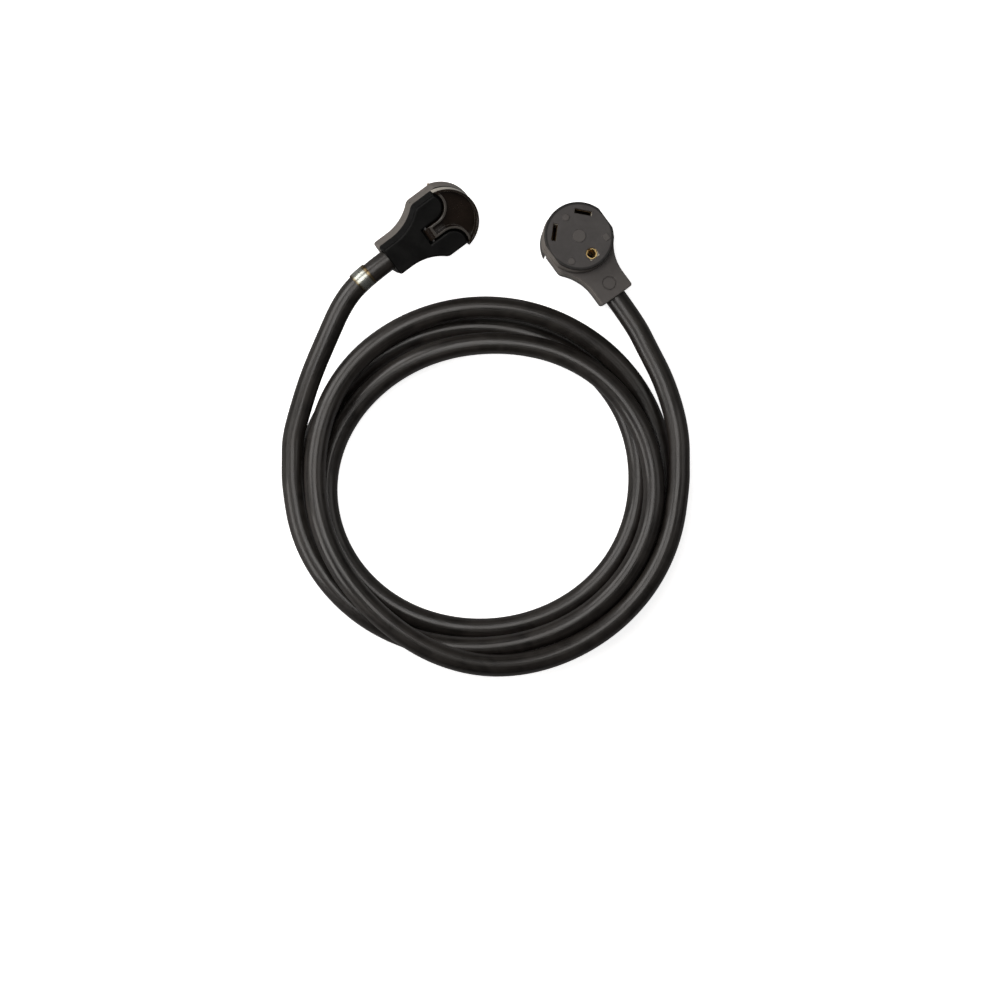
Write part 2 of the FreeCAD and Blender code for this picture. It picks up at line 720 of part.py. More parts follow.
def handle(name):
    """A deep anchor-shaped dish with a thin wall, hung from its hinge eye by a web."""
    body = new_body(name)
    back = HANDLE_TOP - S.handle_thickness
    start = S.hinge_x + S.dish_offset
    sketch = new_sketch(body, f"{name}_outline", height=back)
    anchor_outline(sketch, start, ZERO)
    pad(body, sketch, f"{name}_block", S.handle_thickness)
    fillet(body, f"{name}_rim", S.handle_round, lambda edge: lies_at(edge, back))
    sketch = new_sketch(body, f"{name}_dish_outline", height=back)
    anchor_outline(sketch, start + S.dish_border, S.dish_border)
    pocket(body, sketch, f"{name}_dish", S.dish_depth, reverse=True)
    width = (S.slot_half - S.handle_gap) * 2
    sketch = new_sketch(body, f"{name}_web_outline", "XZ_Plane")
    length = S.dish_offset + S.dish_border / 2
    draw_block(sketch, S.hinge_x + length / 2, HINGE_Z, length, S.hinge_eye * 1.4)
    pad(body, sketch, f"{name}_web", width, middle=True)
    sketch = new_sketch(body, f"{name}_eye_outline", "XZ_Plane")
    draw_circle(sketch, S.hinge_x, HINGE_Z, S.hinge_eye)
    pad(body, sketch, f"{name}_eye", width, middle=True)
    sketch = new_sketch(body, f"{name}_bore_outline", "XZ_Plane")
    draw_circle(sketch, S.hinge_x, HINGE_Z, S.pin_radius + S.pin_clearance)
    pocket(body, sketch, f"{name}_bore", S.slot_half * 2, middle=True)
    return body


def hinge_pin(name):
    """The handle's pin, with rounded ends."""
    reach = S.slot_half + S.pin_bearing_depth
    pin = cylinder(f"{name}_rod", S.pin_radius, reach * 2, S.hinge_x, -reach, HINGE_Z, "Y")
    DOCUMENT.recompute()
    rounded = make("Part::Fillet", name)
    rounded.Base = pin
    radius = S.pin_radius.value / 3
    ends = [number for number, edge in enumerate(pin.Shape.Edges, start=1) if edge.Closed]
    rounded.Edges = [(number, radius, radius) for number in ends]
    rounded.Label = name
    pin.Visibility = False
    return rounded


# Contacts, terminals and wires.

GROUND_X = NOSE_CENTRE - GROUND_RADIUS
CLAMP_SCREW_Y = CORD_RADIUS + S.clamp_strap + S.clamp_ear / 2


def place_on_disc(radius, angle):
    return (NOSE_CENTRE + cosine(angle) * radius, sine(angle) * radius)


def terminal_places(is_plug):
    """Where the terminal screws stand. The socket's ground wire has none: it is crimped."""
    inward = CONTACT_RADIUS - S.screw_distance
    places = [place_on_disc(inward, S.contact_angle * side) for side in SIDES]
    if is_plug:
        places.append((GROUND_X + S.screw_distance, ZERO))
    return places


def contact_foot(name, outer, angle):
    """The flat foot of a contact, which its wire is screwed to, with the screw's hole."""
    nominal = GROUND_RADIUS if angle.value == 180.0 else CONTACT_RADIUS
    inner = nominal - S.foot_length
    foot = turned_box(f"{name}_pad", (outer + inner) / 2, outer - inner, S.foot_width, S.foot_thickness,
                      FOOT_BACK, angle)
    x, y = place_on_disc(nominal - S.screw_distance, angle)
    hole_radius = S.screw_radius + S.fit_gap
    hole = cylinder(f"{name}_hole", hole_radius, S.foot_thickness + OVERRUN, x, y, FOOT_BACK - S.cut_margin)
    return cut(f"{name}_foot", foot, [hole])


def flat_blade(name, side):
    """A plug blade with a tapered tip, bent inwards at its root."""
    body = new_body(f"{name}_tongue")
    angle = S.contact_angle * side
    x, y = place_on_disc(CONTACT_RADIUS, angle)
    sketch = new_sketch(body, f"{name}_section", height=FOOT_BACK)
    draw_block(sketch, x, y, S.blade_thickness, S.blade_width, angle)
    tip = PLUG_FACE + S.blade_reach
    pad(body, sketch, f"{name}_bar", tip - FOOT_BACK)
    chamfer(body, f"{name}_tip", S.blade_tip_chamfer, lambda edge: lies_at(edge, tip))
    return fuse(name, [body, contact_foot(name, CONTACT_RADIUS, angle)])


def flat_clip(name, side):
    """A socket contact: a deep folded spring that grips a blade, with a foot on its inner leaf."""
    angle = S.contact_angle * side
    bottom = FACE - S.blade_reach - S.clip_depth - S.clip_leaf
    depth = CAVITY_ROOF - S.fit_gap - bottom
    strips = []
    for number, way in enumerate(SIDES, start=1):
        radius = CONTACT_RADIUS + (S.clip_mouth + S.clip_leaf) / 2 * way
        strips.append(turned_box(f"{name}_leaf_{number}", radius, S.clip_leaf, S.blade_width, depth,
                                 bottom, angle))
    fold_width = S.clip_mouth + S.clip_leaf * 2
    strips.append(turned_box(f"{name}_fold", CONTACT_RADIUS, fold_width, S.blade_width, S.clip_leaf,
                             bottom, angle))
    return fuse(name, strips + [contact_foot(name, CONTACT_RADIUS - S.clip_mouth / 2, angle)])


def ground_pin(name):
    """The longer round pin of the plug, with a domed tip and a thinner stem inside the head."""
    stem = cylinder(f"{name}_stem", S.ground_stem, PLUG_FACE - FOOT_BACK, GROUND_X, ZERO, FOOT_BACK)
    rod = cylinder(f"{name}_rod", S.ground_pin_radius, S.ground_pin_reach, GROUND_X, ZERO, PLUG_FACE)
    DOCUMENT.recompute()
    domed = make("Part::Fillet", f"{name}_dome")
    domed.Base = rod
    radius = S.ground_pin_radius.value * 0.6
    top = PLUG_FACE + S.ground_pin_reach
    tips = [number for number, edge in enumerate(rod.Shape.Edges, start=1) if lies_at(edge, top)]
    domed.Edges = [(number, radius, radius) for number in tips]
    return fuse(name, [stem, domed, contact_foot(name, GROUND_RADIUS, formula(180.0))])


def ground_sleeve(name):
    """The socket's ground contact: a deep sleeve with a split mouth and a flange behind the carrier."""
    outer_radius = S.ground_bore + S.ground_wall
    bottom = FACE - S.ground_pin_reach - S.ground_flange / 3
    height = FACE - S.clip_recess - bottom
    outer = cylinder(f"{name}_outer", outer_radius, height, GROUND_X, ZERO, bottom)
    flange = cylinder(f"{name}_flange", outer_radius + S.ground_flange, S.ground_flange, GROUND_X, ZERO,
                      CARRIER_BACK - S.fit_gap - S.ground_flange)
    bore = cylinder(f"{name}_bore", S.ground_bore, height + OVERRUN, GROUND_X, ZERO,
                    bottom - S.cut_margin)
    slit = box(f"{name}_slit", outer_radius * 2, S.ground_split, S.carrier_depth, GROUND_X,
               S.ground_split / -2, CARRIER_BACK + S.carrier_depth / 3)
    return cut(name, fuse(f"{name}_solid", [outer, flange]), [bore, slit])


def contact_carrier(name, is_plug):
    """The insulating block that the contacts and their screws are held in."""
    block = new_body(f"{name}_block")
    sketch = new_sketch(block, f"{name}_block_outline", height=CARRIER_BACK)
    disc_outline(sketch, is_plug, S.wall + S.carrier_clearance)
    depth = face_level(is_plug) - S.wall - S.fit_gap - CARRIER_BACK
    pad(block, sketch, f"{name}_block_pad", depth)
    height = depth + OVERRUN
    start = CARRIER_BACK - S.cut_margin
    thickness = S.blade_thickness if is_plug else S.clip_mouth + S.clip_leaf * 2
    ground = S.ground_stem if is_plug else S.ground_bore + S.ground_wall
    tools = []
    for number, side in enumerate(SIDES, start=1):
        tools.append(turned_box(f"{name}_slot_{number}", CONTACT_RADIUS, thickness + S.fit_gap * 2,
                                S.blade_width + S.fit_gap * 2, height, start, S.contact_angle * side))
    tools.append(cylinder(f"{name}_ground", ground + S.fit_gap, height, GROUND_X, ZERO, start))
    for number, (x, y) in enumerate(terminal_places(is_plug), start=1):
        tools.append(cylinder(f"{name}_pilot_{number}", S.screw_radius + S.pin_clearance,
                              S.screw_bite + S.cut_margin + S.fit_gap, x, y, start))
    return cut(name, block, tools)


def terminal_screws(name, is_plug):
    screws = []
    for number, (x, y) in enumerate(terminal_places(is_plug), start=1):
        head = cylinder(f"{name}_head_{number}", S.screw_head, S.screw_head_depth, x, y, SCREW_BACK)
        length = CARRIER_BACK + S.screw_bite - SCREW_BACK
        shank = cylinder(f"{name}_shank_{number}", S.screw_radius, length, x, y, SCREW_BACK)
        screws.append(fuse(f"{name}_{number}", [head, shank]))
    return group(name, screws)


def curved_wire(name, side):
    """An insulated wire that swings outwards from the jacket's end, then in to its terminal."""
    body = new_body(name)
    start = (S.jacket_end, S.wire_pitch)
    first_centre = (S.jacket_end, S.wire_pitch + S.wire_bend)
    bent_x = S.jacket_end + sine(S.wire_swing) * S.wire_bend
    bent_y = first_centre[1] - cosine(S.wire_swing) * S.wire_bend
    end = terminal_places(False)[0]
    step_x = end[0] - bent_x
    step_y = end[1] - bent_y
    lean = sine(S.wire_swing) * step_x - cosine(S.wire_swing) * step_y
    radius = (step_x * step_x + step_y * step_y) / (lean * 2)
    second_centre = (bent_x + sine(S.wire_swing) * radius, bent_y - cosine(S.wire_swing) * radius)
    points = [start, (bent_x, bent_y), first_centre, end, second_centre]
    if side < 0:
        points = [mirrored(point) for point in points]
    path = new_sketch(body, f"{name}_path", height=WIRE_Z)
    bends = [("arc", points[1], points[2], side > 0), ("arc", points[3], points[4], side < 0)]
    draw_path(path, points[0], bends)
    profile = new_sketch(body, f"{name}_section", "YZ_Plane", S.jacket_end)
    draw_circle(profile, points[0][1], WIRE_Z, S.wire_radius)
    pipe = body.newObject("PartDesign::AdditivePipe", f"{name}_pipe")
    pipe.Profile = profile
    pipe.Spine = path
    DOCUMENT.recompute()
    return body


def ground_wire(name, is_plug):
    """The middle wire, straight to the plug's ground terminal or to the side of the socket's sleeve."""
    end = GROUND_X + S.screw_distance if is_plug else GROUND_X - S.ground_bore - S.ground_wall
    core = cylinder(f"{name}_core", S.wire_radius, end - S.jacket_end, S.jacket_end, ZERO, WIRE_Z, "X")
    return group(name, [core])


def cord_clamp(name):
    """A strap over the jacket with an ear on each side, screwed to the posts of the shell."""
    outer_radius = CORD_RADIUS + S.clamp_strap
    bore_radius = CORD_RADIUS + S.pin_clearance
    half = outer_radius + S.clamp_ear
    strap = cylinder(f"{name}_strap", outer_radius, S.clamp_length, S.clamp_x, ZERO, ZERO, "X")
    ear_z = S.post_level - S.fit_gap - S.clamp_strap
    start = S.clamp_x - S.cut_margin
    front = box(f"{name}_front", S.clamp_length + OVERRUN, half * 2, outer_radius * 2, start, -half,
                ear_z + S.clamp_strap)
    half_strap = cut(f"{name}_half", strap, [front])
    ears = box(f"{name}_ears", S.clamp_length, half * 2, S.clamp_strap, S.clamp_x, -half, ear_z)
    bore = cylinder(f"{name}_bore", bore_radius, S.clamp_length + OVERRUN, start, ZERO, ZERO, "X")
    tools = [bore]
    for number, side in enumerate(SIDES, start=1):
        tools.append(cylinder(f"{name}_hole_{number}", S.clamp_screw_radius + S.fit_gap,
                              S.clamp_strap + OVERRUN, S.clamp_x + S.clamp_length / 2,
                              CLAMP_SCREW_Y * side, ear_z - S.cut_margin))
    return cut(name, fuse(f"{name}_solid", [half_strap, ears]), tools)


def clamp_screws(name):
    screws = []
    ear_z = S.post_level - S.fit_gap - S.clamp_strap
    head_depth = S.clamp_strap * 0.9
    middle = S.clamp_x + S.clamp_length / 2
    for number, side in enumerate(SIDES, start=1):
        y = CLAMP_SCREW_Y * side
        start = ear_z - S.fit_gap - head_depth
        head = cylinder(f"{name}_head_{number}", S.clamp_screw_head, head_depth, middle, y, start)
        length = S.post_level + S.clamp_screw_bite - start
        shank = cylinder(f"{name}_shank_{number}", S.clamp_screw_radius, length, middle, y, start)
        screws.append(fuse(f"{name}_{number}", [head, shank]))
    return group(name, screws)


def cord_end(name):
    """The end of the jacket, inside the head."""
    core = cylinder(f"{name}_core", CORD_RADIUS, S.jacket_end, ZERO, ZERO, ZERO, "X")
    return group(name, [core])


def build_head(prefix, is_plug):
    """Every piece of one head, in the head's own frame."""
    contact = "blade" if is_plug else "contact"
    flat_contact = flat_blade if is_plug else flat_clip
    ground = ground_pin(f"{prefix}_ground_pin") if is_plug else ground_sleeve(f"{prefix}_ground_contact")
    return [
        front_shell(f"{prefix}_front_shell", is_plug),
        back_cover(f"{prefix}_back_cover"),
        handle(f"{prefix}_handle"),
        hinge_pin(f"{prefix}_handle_pin"),
        contact_carrier(f"{prefix}_{contact}_carrier", is_plug),
        flat_contact(f"{prefix}_hot_{contact}", 1),
        flat_contact(f"{prefix}_neutral_{contact}", -1),
        ground,
        terminal_screws(f"{prefix}_terminal_screws", is_plug),
        curved_wire(f"{prefix}_hot_wire", 1),
        curved_wire(f"{prefix}_neutral_wire", -1),
        ground_wire(f"{prefix}_ground_wire", is_plug),
        cord_clamp(f"{prefix}_cord_clamp"),
        clamp_screws(f"{prefix}_clamp_screws"),
        cord_end(f"{prefix}_cord_end"),
    ]


def stand_head(pieces, x, y, turn, roll):
    """Turns a head as it lies, and lowers it until it touches the floor."""
    rotation = FreeCAD.Rotation(Vector(0, 0, 1), turn.value) * FreeCAD.Rotation(Vector(1, 0, 0), roll.value)
    lowest = 0.0
    for piece in pieces:
        shape = piece.Shape.copy()
        shape.Placement = FreeCAD.Placement(Vector(0, 0, 0), rotation).multiply(shape.Placement)
        lowest = min(lowest, shape.optimalBoundingBox(False, False).ZMin)
    base = Vector(S.coil_x.value + x.value, S.coil_y.value + y.value, -lowest)
    placement = FreeCAD.Placement(base, rotation)
    for piece in pieces:
        piece.Placement = placement
    return placement


# The cord.

# Each quarter turn of the coil, from the side where the plug's lead comes in: the lane that the
# cord lies in, counted outwards in half diameters, its layer, and how it climbs there per quarter.
COIL_STATIONS = [
    (2.82, 1.0, 0.0),
    (1.16, 1.0, 0.0),
    (1.0, 1.0, 0.0),
    (0.24, 1.0, 0.0),
    (0.1, 0.0, 0.0),
    (0.0, 0.0, 0.0),
    (0.0, 0.0, 0.0),
    (1.85, 0.0, 0.0),
    (2.05, 0.0, 0.0),
    (2.05, 0.0, 0.0),
    (2.1, 0.0, 0.0),
    (3.19, 1.0, 0.0),
    (1.0, 1.62, 1.6),
    (3.02, 1.62, -1.6),
    (3.13, 1.0, 0.0),
]
COIL_START_TURN = 180.0

# Points of the two free leads, from the middle of the coil, chosen by eye.
PLUG_LEAD = [
    (-105.1, 133.2, 35.0),
    (-117.3, 110.3, 32.8),
    (-129.1, 80.9, 29.3),
    (-137.3, 52.9, 26.4),
]
CONNECTOR_LEAD = [
    (140.2, 53.7, 23.2),
    (132.5, 79.1, 20.0),
    (122.0, 101.8, 16.6),
]
LEAD_END_RUN = 17.3


def hermite(first, second, first_slope, second_slope, share):
    """A smooth step between two values with given slopes at its ends."""
    square = share * share
    cube = square * share
    value = first * (2 * cube - 3 * square + 1) + second * (3 * square - 2 * cube)
    return value + first_slope * (cube - 2 * square + share) + second_slope * (cube - square)


def lane_slope(index):
    """How the lane changes per quarter turn at a station, from its neighbours."""
    if index in (0, len(COIL_STATIONS) - 1):
        return 0.0
    return (COIL_STATIONS[index + 1][0] - COIL_STATIONS[index - 1][0]) / 2


def coil_point(quarters):
    """The middle of the cord after that many quarter turns."""
    index = min(int(quarters), len(COIL_STATIONS) - 2)
    share = quarters - index
    here, there = COIL_STATIONS[index], COIL_STATIONS[index + 1]
    lane = hermite(here[0], there[0], lane_slope(index), lane_slope(index + 1), share)
    layer = hermite(here[1], there[1], here[2], there[2], share)
    turn = math.radians(COIL_START_TURN + 90.0 * quarters)
    half_width = S.coil_half_width.value
    half_depth = S.coil_half_depth.value
    oval = math.hypot(half_depth * math.cos(turn), half_width * math.sin(turn))
    radius = half_width * half_depth / oval + lane * S.lane_step.value
    height = CORD_RADIUS.value + S.floor_gap.value + layer * S.layer_step.value
    middle = Vector(S.coil_x.value, S.coil_y.value, 0)
    return middle + Vector(radius * math.cos(turn), radius * math.sin(turn), height)


def coil_direction(quarters):
    step = 1e-4
    last = len(COIL_STATIONS) - 1
    before = coil_point(max(quarters - step, 0.0))
    after = coil_point(min(quarters + step, float(last)))
    return (after - before).normalize()


def tangent_arc(start, corner, end):
    """The arc that leaves start towards the corner and reaches end from it, or a line."""
    middle = (start + end) / 2
    lean = (corner - start).getAngle(end - start)
    sagitta = (end - start).Length / 2 * math.tan(lean / 2)
    top = middle + (corner - middle).normalize() * sagitta
    return Part.Arc(start, top, end)


def biarc(start, start_way, end, end_way):
    """Two arcs that join two points, smooth at both ends and where they meet."""
    chord = end - start
    both = start_way + end_way
    turn = 2 * (1 - start_way.dot(end_way))
    across = chord.dot(both)
    reach = (math.sqrt(across * across + turn * chord.dot(chord)) - across) / turn
    first_corner = start + start_way * reach
    second_corner = end - end_way * reach
    meeting = (first_corner + second_corner) / 2
    return [tangent_arc(start, first_corner, meeting), tangent_arc(meeting, second_corner, end)]


def rounded_route(points):
    """Straight runs joined by tangent arcs, as large as the two runs at each corner allow."""
    edges = []
    here = points[0]
    radii = []
    for before, corner, after in zip(points, points[1:], points[2:]):
        shorter = min((corner - before).Length, (after - corner).Length)
        half_turn = (corner - before).getAngle(after - corner) / 2
        cut_back = 0.45 * shorter
        radii.append(cut_back / math.tan(half_turn))
        start = corner - (corner - before).normalize() * cut_back
        end = corner + (after - corner).normalize() * cut_back
        edges.append(Part.LineSegment(here, start).toShape())
        edges.append(tangent_arc(start, corner, end).toShape())
        here = end
    edges.append(Part.LineSegment(here, points[-1]).toShape())
    return edges, radii


def sweep_cord(name, edges):
    """One unbroken tube along the edges, checked against its section times its length."""
    path = Part.Wire(edges)
    start = edges[0].valueAt(edges[0].FirstParameter)
    way = edges[0].tangentAt(edges[0].FirstParameter)
    ring = Part.Wire(Part.Circle(start, way, CORD_RADIUS.value).toShape())
    tube = path.makePipeShell([ring], True, False)
    expected = math.pi * CORD_RADIUS.value ** 2 * path.Length
    print(f"{name}: length {path.Length:.1f} mm, volume {tube.Volume / expected:.4f} of section x length")
    feature = make("Part::Feature", name)
    feature.Shape = tube
    feature.Placement = FreeCAD.Placement()
    feature.Label = name
    return feature, path


def print_least_gap(path):
    """Prints how near the coiled cord comes to itself, measured on points along it."""
    points = path.discretize(Distance=4.0)
    skip = int(3 * S.cord_diameter.value / 4.0)
    least = min((first - second).Length for number, first in enumerate(points)
                for second in points[number + skip:])
    print(f"coil's least gap to itself {least - S.cord_diameter.value:.2f} mm")


def build_coil():
    last = len(COIL_STATIONS) - 1
    start, end = coil_point(0.0), coil_point(float(last))
    start_way, end_way = coil_direction(0.0), coil_direction(float(last))
    first = start - start_way * S.cord_diameter.value
    final = end + end_way * S.cord_diameter.value
    edges = [Part.LineSegment(first, start).toShape()]
    for index in range(last):
        first_stop = (coil_point(index), coil_direction(index))
        arcs = biarc(*first_stop, coil_point(index + 1), coil_direction(index + 1))
        radii = [arc.toShape().Curve.Radius for arc in arcs]
        print(f"coil quarter {index}: radii {radii[0]:.0f} and {radii[1]:.0f} mm")
        edges += [arc.toShape() for arc in arcs]
    edges.append(Part.LineSegment(end, final).toShape())
    coil, path = sweep_cord("cord_coil", edges)
    print_least_gap(path)
    return coil, first, final, start_way, end_way


def build_leads(plug_place, connector_place, coil_ends):
    """The cord from each head to the coil, with the band beside the plug."""
    first, final, start_way, end_way = coil_ends
    middle = Vector(S.coil_x.value, S.coil_y.value, 0)
    exit_point = Vector(-S.exit_run.value, 0, 0)
    plug_points = [plug_place.Base, plug_place.multVec(exit_point)]
    plug_points += [middle + Vector(*point) for point in PLUG_LEAD]
    plug_points += [first - start_way * LEAD_END_RUN, first]
    connector_points = [final, final + end_way * LEAD_END_RUN]
    connector_points += [middle + Vector(*point) for point in CONNECTOR_LEAD]
    connector_points += [connector_place.multVec(exit_point), connector_place.Base]
    pieces = []
    for name, points in (("cord_lead_plug", plug_points), ("cord_lead_connector", connector_points)):
        edges, radii = rounded_route(points)
        print(name, "radii", [round(radius) for radius in radii])
        pieces.append(sweep_cord(name, edges)[0])
        if name == "cord_lead_plug":
            pieces.append(cord_band(edges[0], edges[1]))
    return pieces


def cord_band(straight, bend):
    """A thin plain band round the first bend of the cord, beside the plug."""
    circle = bend.Curve
    begin = bend.FirstParameter + (S.band_start.value - straight.Length) / circle.Radius
    spot, way = bend.valueAt(begin), bend.tangentAt(begin)
    turn = math.degrees(S.band_length.value / circle.Radius)
    inner = CORD_RADIUS.value + S.pin_clearance.value
    rings = []
    for radius in (inner + S.band_thickness.value, inner):
        disc = Part.Face(Part.Wire(Part.Circle(spot, way, radius).toShape()))
        rings.append(disc.revolve(circle.Center, circle.Axis, turn))
    band = make("Part::Feature", "cord_band")
    band.Shape = rings[0].cut(rings[1])
    band.Placement = FreeCAD.Placement()
    band.Label = "cord_band"
    return band


def check_and_write(nodes):
    DOCUMENT.recompute()
    for thing in DOCUMENT.Objects:
        if "Invalid" in thing.State or "Error" in thing.State:
            raise ValueError(f"{thing.Name} failed: {thing.State}")
    for node in nodes:
        if node.Shape.isNull() or not node.Shape.isValid() or not node.Shape.Solids:
            raise ValueError(f"{node.Label} has no valid solid")
    os.makedirs("parts", exist_ok=True)
    for node in nodes:
        node.Shape.exportStep(f"parts/{node.Label}.step")
    print(len(nodes), "nodes written")


def main():
    plug = build_head("plug", True)
    connector = build_head("connector", False)
    DOCUMENT.recompute()
    plug_place = stand_head(plug, S.plug_x, S.plug_y, S.plug_turn, S.plug_roll)
    connector_place = stand_head(connector, S.connector_x, S.connector_y, S.connector_turn, S.connector_roll)
    coil, *coil_ends = build_coil()
    leads = build_leads(plug_place, connector_place, coil_ends)
    check_and_write(plug + connector + leads + [coil])


main()
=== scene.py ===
import math

import bpy
from mathutils import Matrix, Vector


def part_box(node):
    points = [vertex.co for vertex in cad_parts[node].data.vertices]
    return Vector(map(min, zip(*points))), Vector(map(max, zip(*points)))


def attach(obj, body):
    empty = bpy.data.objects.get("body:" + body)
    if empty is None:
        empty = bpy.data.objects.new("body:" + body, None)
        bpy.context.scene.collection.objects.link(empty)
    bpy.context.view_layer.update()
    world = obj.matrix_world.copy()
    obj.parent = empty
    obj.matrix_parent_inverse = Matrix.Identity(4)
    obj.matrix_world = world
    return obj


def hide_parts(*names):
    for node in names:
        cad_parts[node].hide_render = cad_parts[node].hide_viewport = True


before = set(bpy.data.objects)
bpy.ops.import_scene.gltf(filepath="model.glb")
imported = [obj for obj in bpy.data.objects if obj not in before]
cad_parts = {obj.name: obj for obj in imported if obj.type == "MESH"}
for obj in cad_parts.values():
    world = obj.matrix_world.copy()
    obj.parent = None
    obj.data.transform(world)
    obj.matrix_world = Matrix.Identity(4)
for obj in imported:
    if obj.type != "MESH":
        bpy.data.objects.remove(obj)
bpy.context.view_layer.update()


# Sizes that part.py has too, in metres and degrees.
CORD_RADIUS = 0.0081
COIL_MIDDLE = Vector((-0.0141, -0.1791, 0.0))
COIL_HALF_WIDTH = 0.116
COIL_HALF_DEPTH = 0.1053
COIL_START_TURN = 180.0
STATION_TURN = 45.0
LANE_STEP = 0.0087
LAYER_STEP = 0.0168
FLOOR_GAP = 0.00005
EXIT_RUN = 0.024
LEAD_END_RUN = 0.0173
JACKET_END = 0.0294

# How each head lies, in degrees: the direction of its nose, and its roll about its length.
HEAD_TURNS = {"plug": (37.0, 207.0), "connector": (126.0, 8.0)}

# Levels along a head's own z axis, and the middle of its round nose on its x axis.
PARTING = -0.0014
FRONT = 0.0108
BACK = -0.0112
FACE = 0.0218
MARK = 0.0004
NOSE_X = 0.0512

# The coil, an eighth of a turn from one to the next: lane, layer, and the layer's slope.
COIL_STATIONS = [
    (2.86, 1.0, 0.0),
    (2.53, 1.0, 0.0),
    (1.8, 1.0, 0.0),
    (1.55, 1.0, 0.0),
    (1.2, 1.0, 0.0),
    (0.79, 1.0, 0.0),
    (-0.03, 1.0, 0.0),
    (-0.14, 0.5, -0.75),
    (0.19, 0.0, 0.0),
    (0.36, 0.0, 0.0),
    (0.15, 0.0, 0.0),
    (-0.02, 0.0, 0.0),
    (-0.04, 0.0, 0.0),
    (1.05, 0.0, 0.0),
    (1.6, 0.0, 0.0),
    (1.8, 0.0, 0.0),
    (2.05, 0.0, 0.0),
    (2.28, 0.0, 0.0),
    (2.08, 0.0, 0.0),
    (2.0, 0.0, 0.0),
    (2.1, 0.0, 0.0),
    (2.8, 0.5, 0.75),
    (3.11, 1.0, 0.0),
    (2.48, 1.11, 0.27),
    (1.0, 1.62, 0.8),
    (1.49, 2.06, 0.0),
    (3.34, 1.68, -0.8),
    (3.44, 1.11, -0.27),
    (3.17, 1.0, 0.0),
]

# Control points of the cord between each head and the coil, from the middle of the coil.
PLUG_LEAD = [
    (-0.1044, 0.1323, 0.035),
    (-0.1151, 0.1083, 0.0328),
    (-0.1275, 0.0799, 0.0293),
    (-0.1361, 0.0524, 0.0264),
]
CONNECTOR_LEAD = [
    (0.1402, 0.0537, 0.0232),
    (0.1322, 0.0789, 0.02),
    (0.1211, 0.101, 0.0166),
]

# How finely the curve follows the route, along the cord and round it.
POINTS_PER_STATION = 3
CURVE_ORDER = 3
CURVE_STEPS = 8
ROUND_STEPS = 8


def head_rotation(name):
    turn, roll = HEAD_TURNS[name]
    return Matrix.Rotation(math.radians(turn), 3, "Z") @ Matrix.Rotation(math.radians(roll), 3, "X")


def head_axis(name, axis):
    """A direction in a head's own axes, in the shared frame."""
    return head_rotation(name) @ Vector(axis)


def head_base(name):
    """The cord end of a head, half a jacket end back from the middle of that CAD node."""
    low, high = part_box(f"{name}_cord_end")
    along = head_axis(name, (JACKET_END, 0, 0))
    middle = (Vector(low) + Vector(high)) / 2
    return middle - along / 2


def in_head(name, point):
    """A point in a head's own axes, in the shared frame."""
    return head_base(name) + head_axis(name, point)


# The cord.

def hermite(first, second, first_slope, second_slope, share):
    """A smooth value between two, from their slopes."""
    square = share * share
    cube = square * share
    value = first * (2 * cube - 3 * square + 1) + second * (3 * square - 2 * cube)
    return value + first_slope * (cube - 2 * square + share) + second_slope * (cube - square)


def lane_slope(index):
    """How fast the lane changes at a station, from the two beside it."""
    if index in (0, len(COIL_STATIONS) - 1):
        return 0.0
    return (COIL_STATIONS[index + 1][0] - COIL_STATIONS[index - 1][0]) / 2


def coil_point(station):
    """A point on the coil, at a station or between two."""
    index = min(int(station), len(COIL_STATIONS) - 2)
    share = station - index
    here = COIL_STATIONS[index]
    there = COIL_STATIONS[index + 1]
    lane = hermite(here[0], there[0], lane_slope(index), lane_slope(index + 1), share)
    layer = hermite(here[1], there[1], here[2], there[2], share)
    turn = math.radians(COIL_START_TURN + STATION_TURN * station)
    oval = math.hypot(COIL_HALF_DEPTH * math.cos(turn), COIL_HALF_WIDTH * math.sin(turn))
    radius = COIL_HALF_WIDTH * COIL_HALF_DEPTH / oval + lane * LANE_STEP
    height = CORD_RADIUS + FLOOR_GAP + layer * LAYER_STEP
    return COIL_MIDDLE + Vector((radius * math.cos(turn), radius * math.sin(turn), height))


def cord_route():
    """The cord's control points, from the plug round the coil to the connector."""
    last = len(COIL_STATIONS) - 1
    points = [in_head("plug", (0, 0, 0)), in_head("plug", (-EXIT_RUN, 0, 0))]
    points += [COIL_MIDDLE + Vector(point) for point in PLUG_LEAD]
    first, final = coil_point(0), coil_point(last)
    straight = 2 * CORD_RADIUS
    points.append(first + Vector((0, straight + LEAD_END_RUN, 0)))
    points.append(first + Vector((0, straight, 0)))
    count = last * POINTS_PER_STATION + 1
    points += [coil_point(number / POINTS_PER_STATION) for number in range(count)]
    points.append(final + Vector((0, straight, 0)))
    points.append(final + Vector((0, straight + LEAD_END_RUN, 0)))
    points += [COIL_MIDDLE + Vector(point) for point in CONNECTOR_LEAD]
    points += [in_head("connector", (-EXIT_RUN, 0, 0)), in_head("connector", (0, 0, 0))]
    return points


def make_cord():
    """One round curve. Each point's radius is the cord's, so the bevel depth is 1."""
    curve = bpy.data.curves.new("power_cord", "CURVE")
    curve.dimensions = "3D"
    spline = curve.splines.new("NURBS")
    route = cord_route()
    spline.points.add(len(route) - 1)
    for point, place in zip(spline.points, route):
        point.co = (*place, 1.0)
        point.radius = CORD_RADIUS
    spline.order_u = CURVE_ORDER
    spline.use_endpoint_u = True
    spline.resolution_u = CURVE_STEPS
    curve.bevel_depth = 1.0
    curve.bevel_resolution = ROUND_STEPS
    curve.use_fill_caps = True
    cord = bpy.data.objects.new("power_cord", curve)
    bpy.context.collection.objects.link(cord)
    return cord


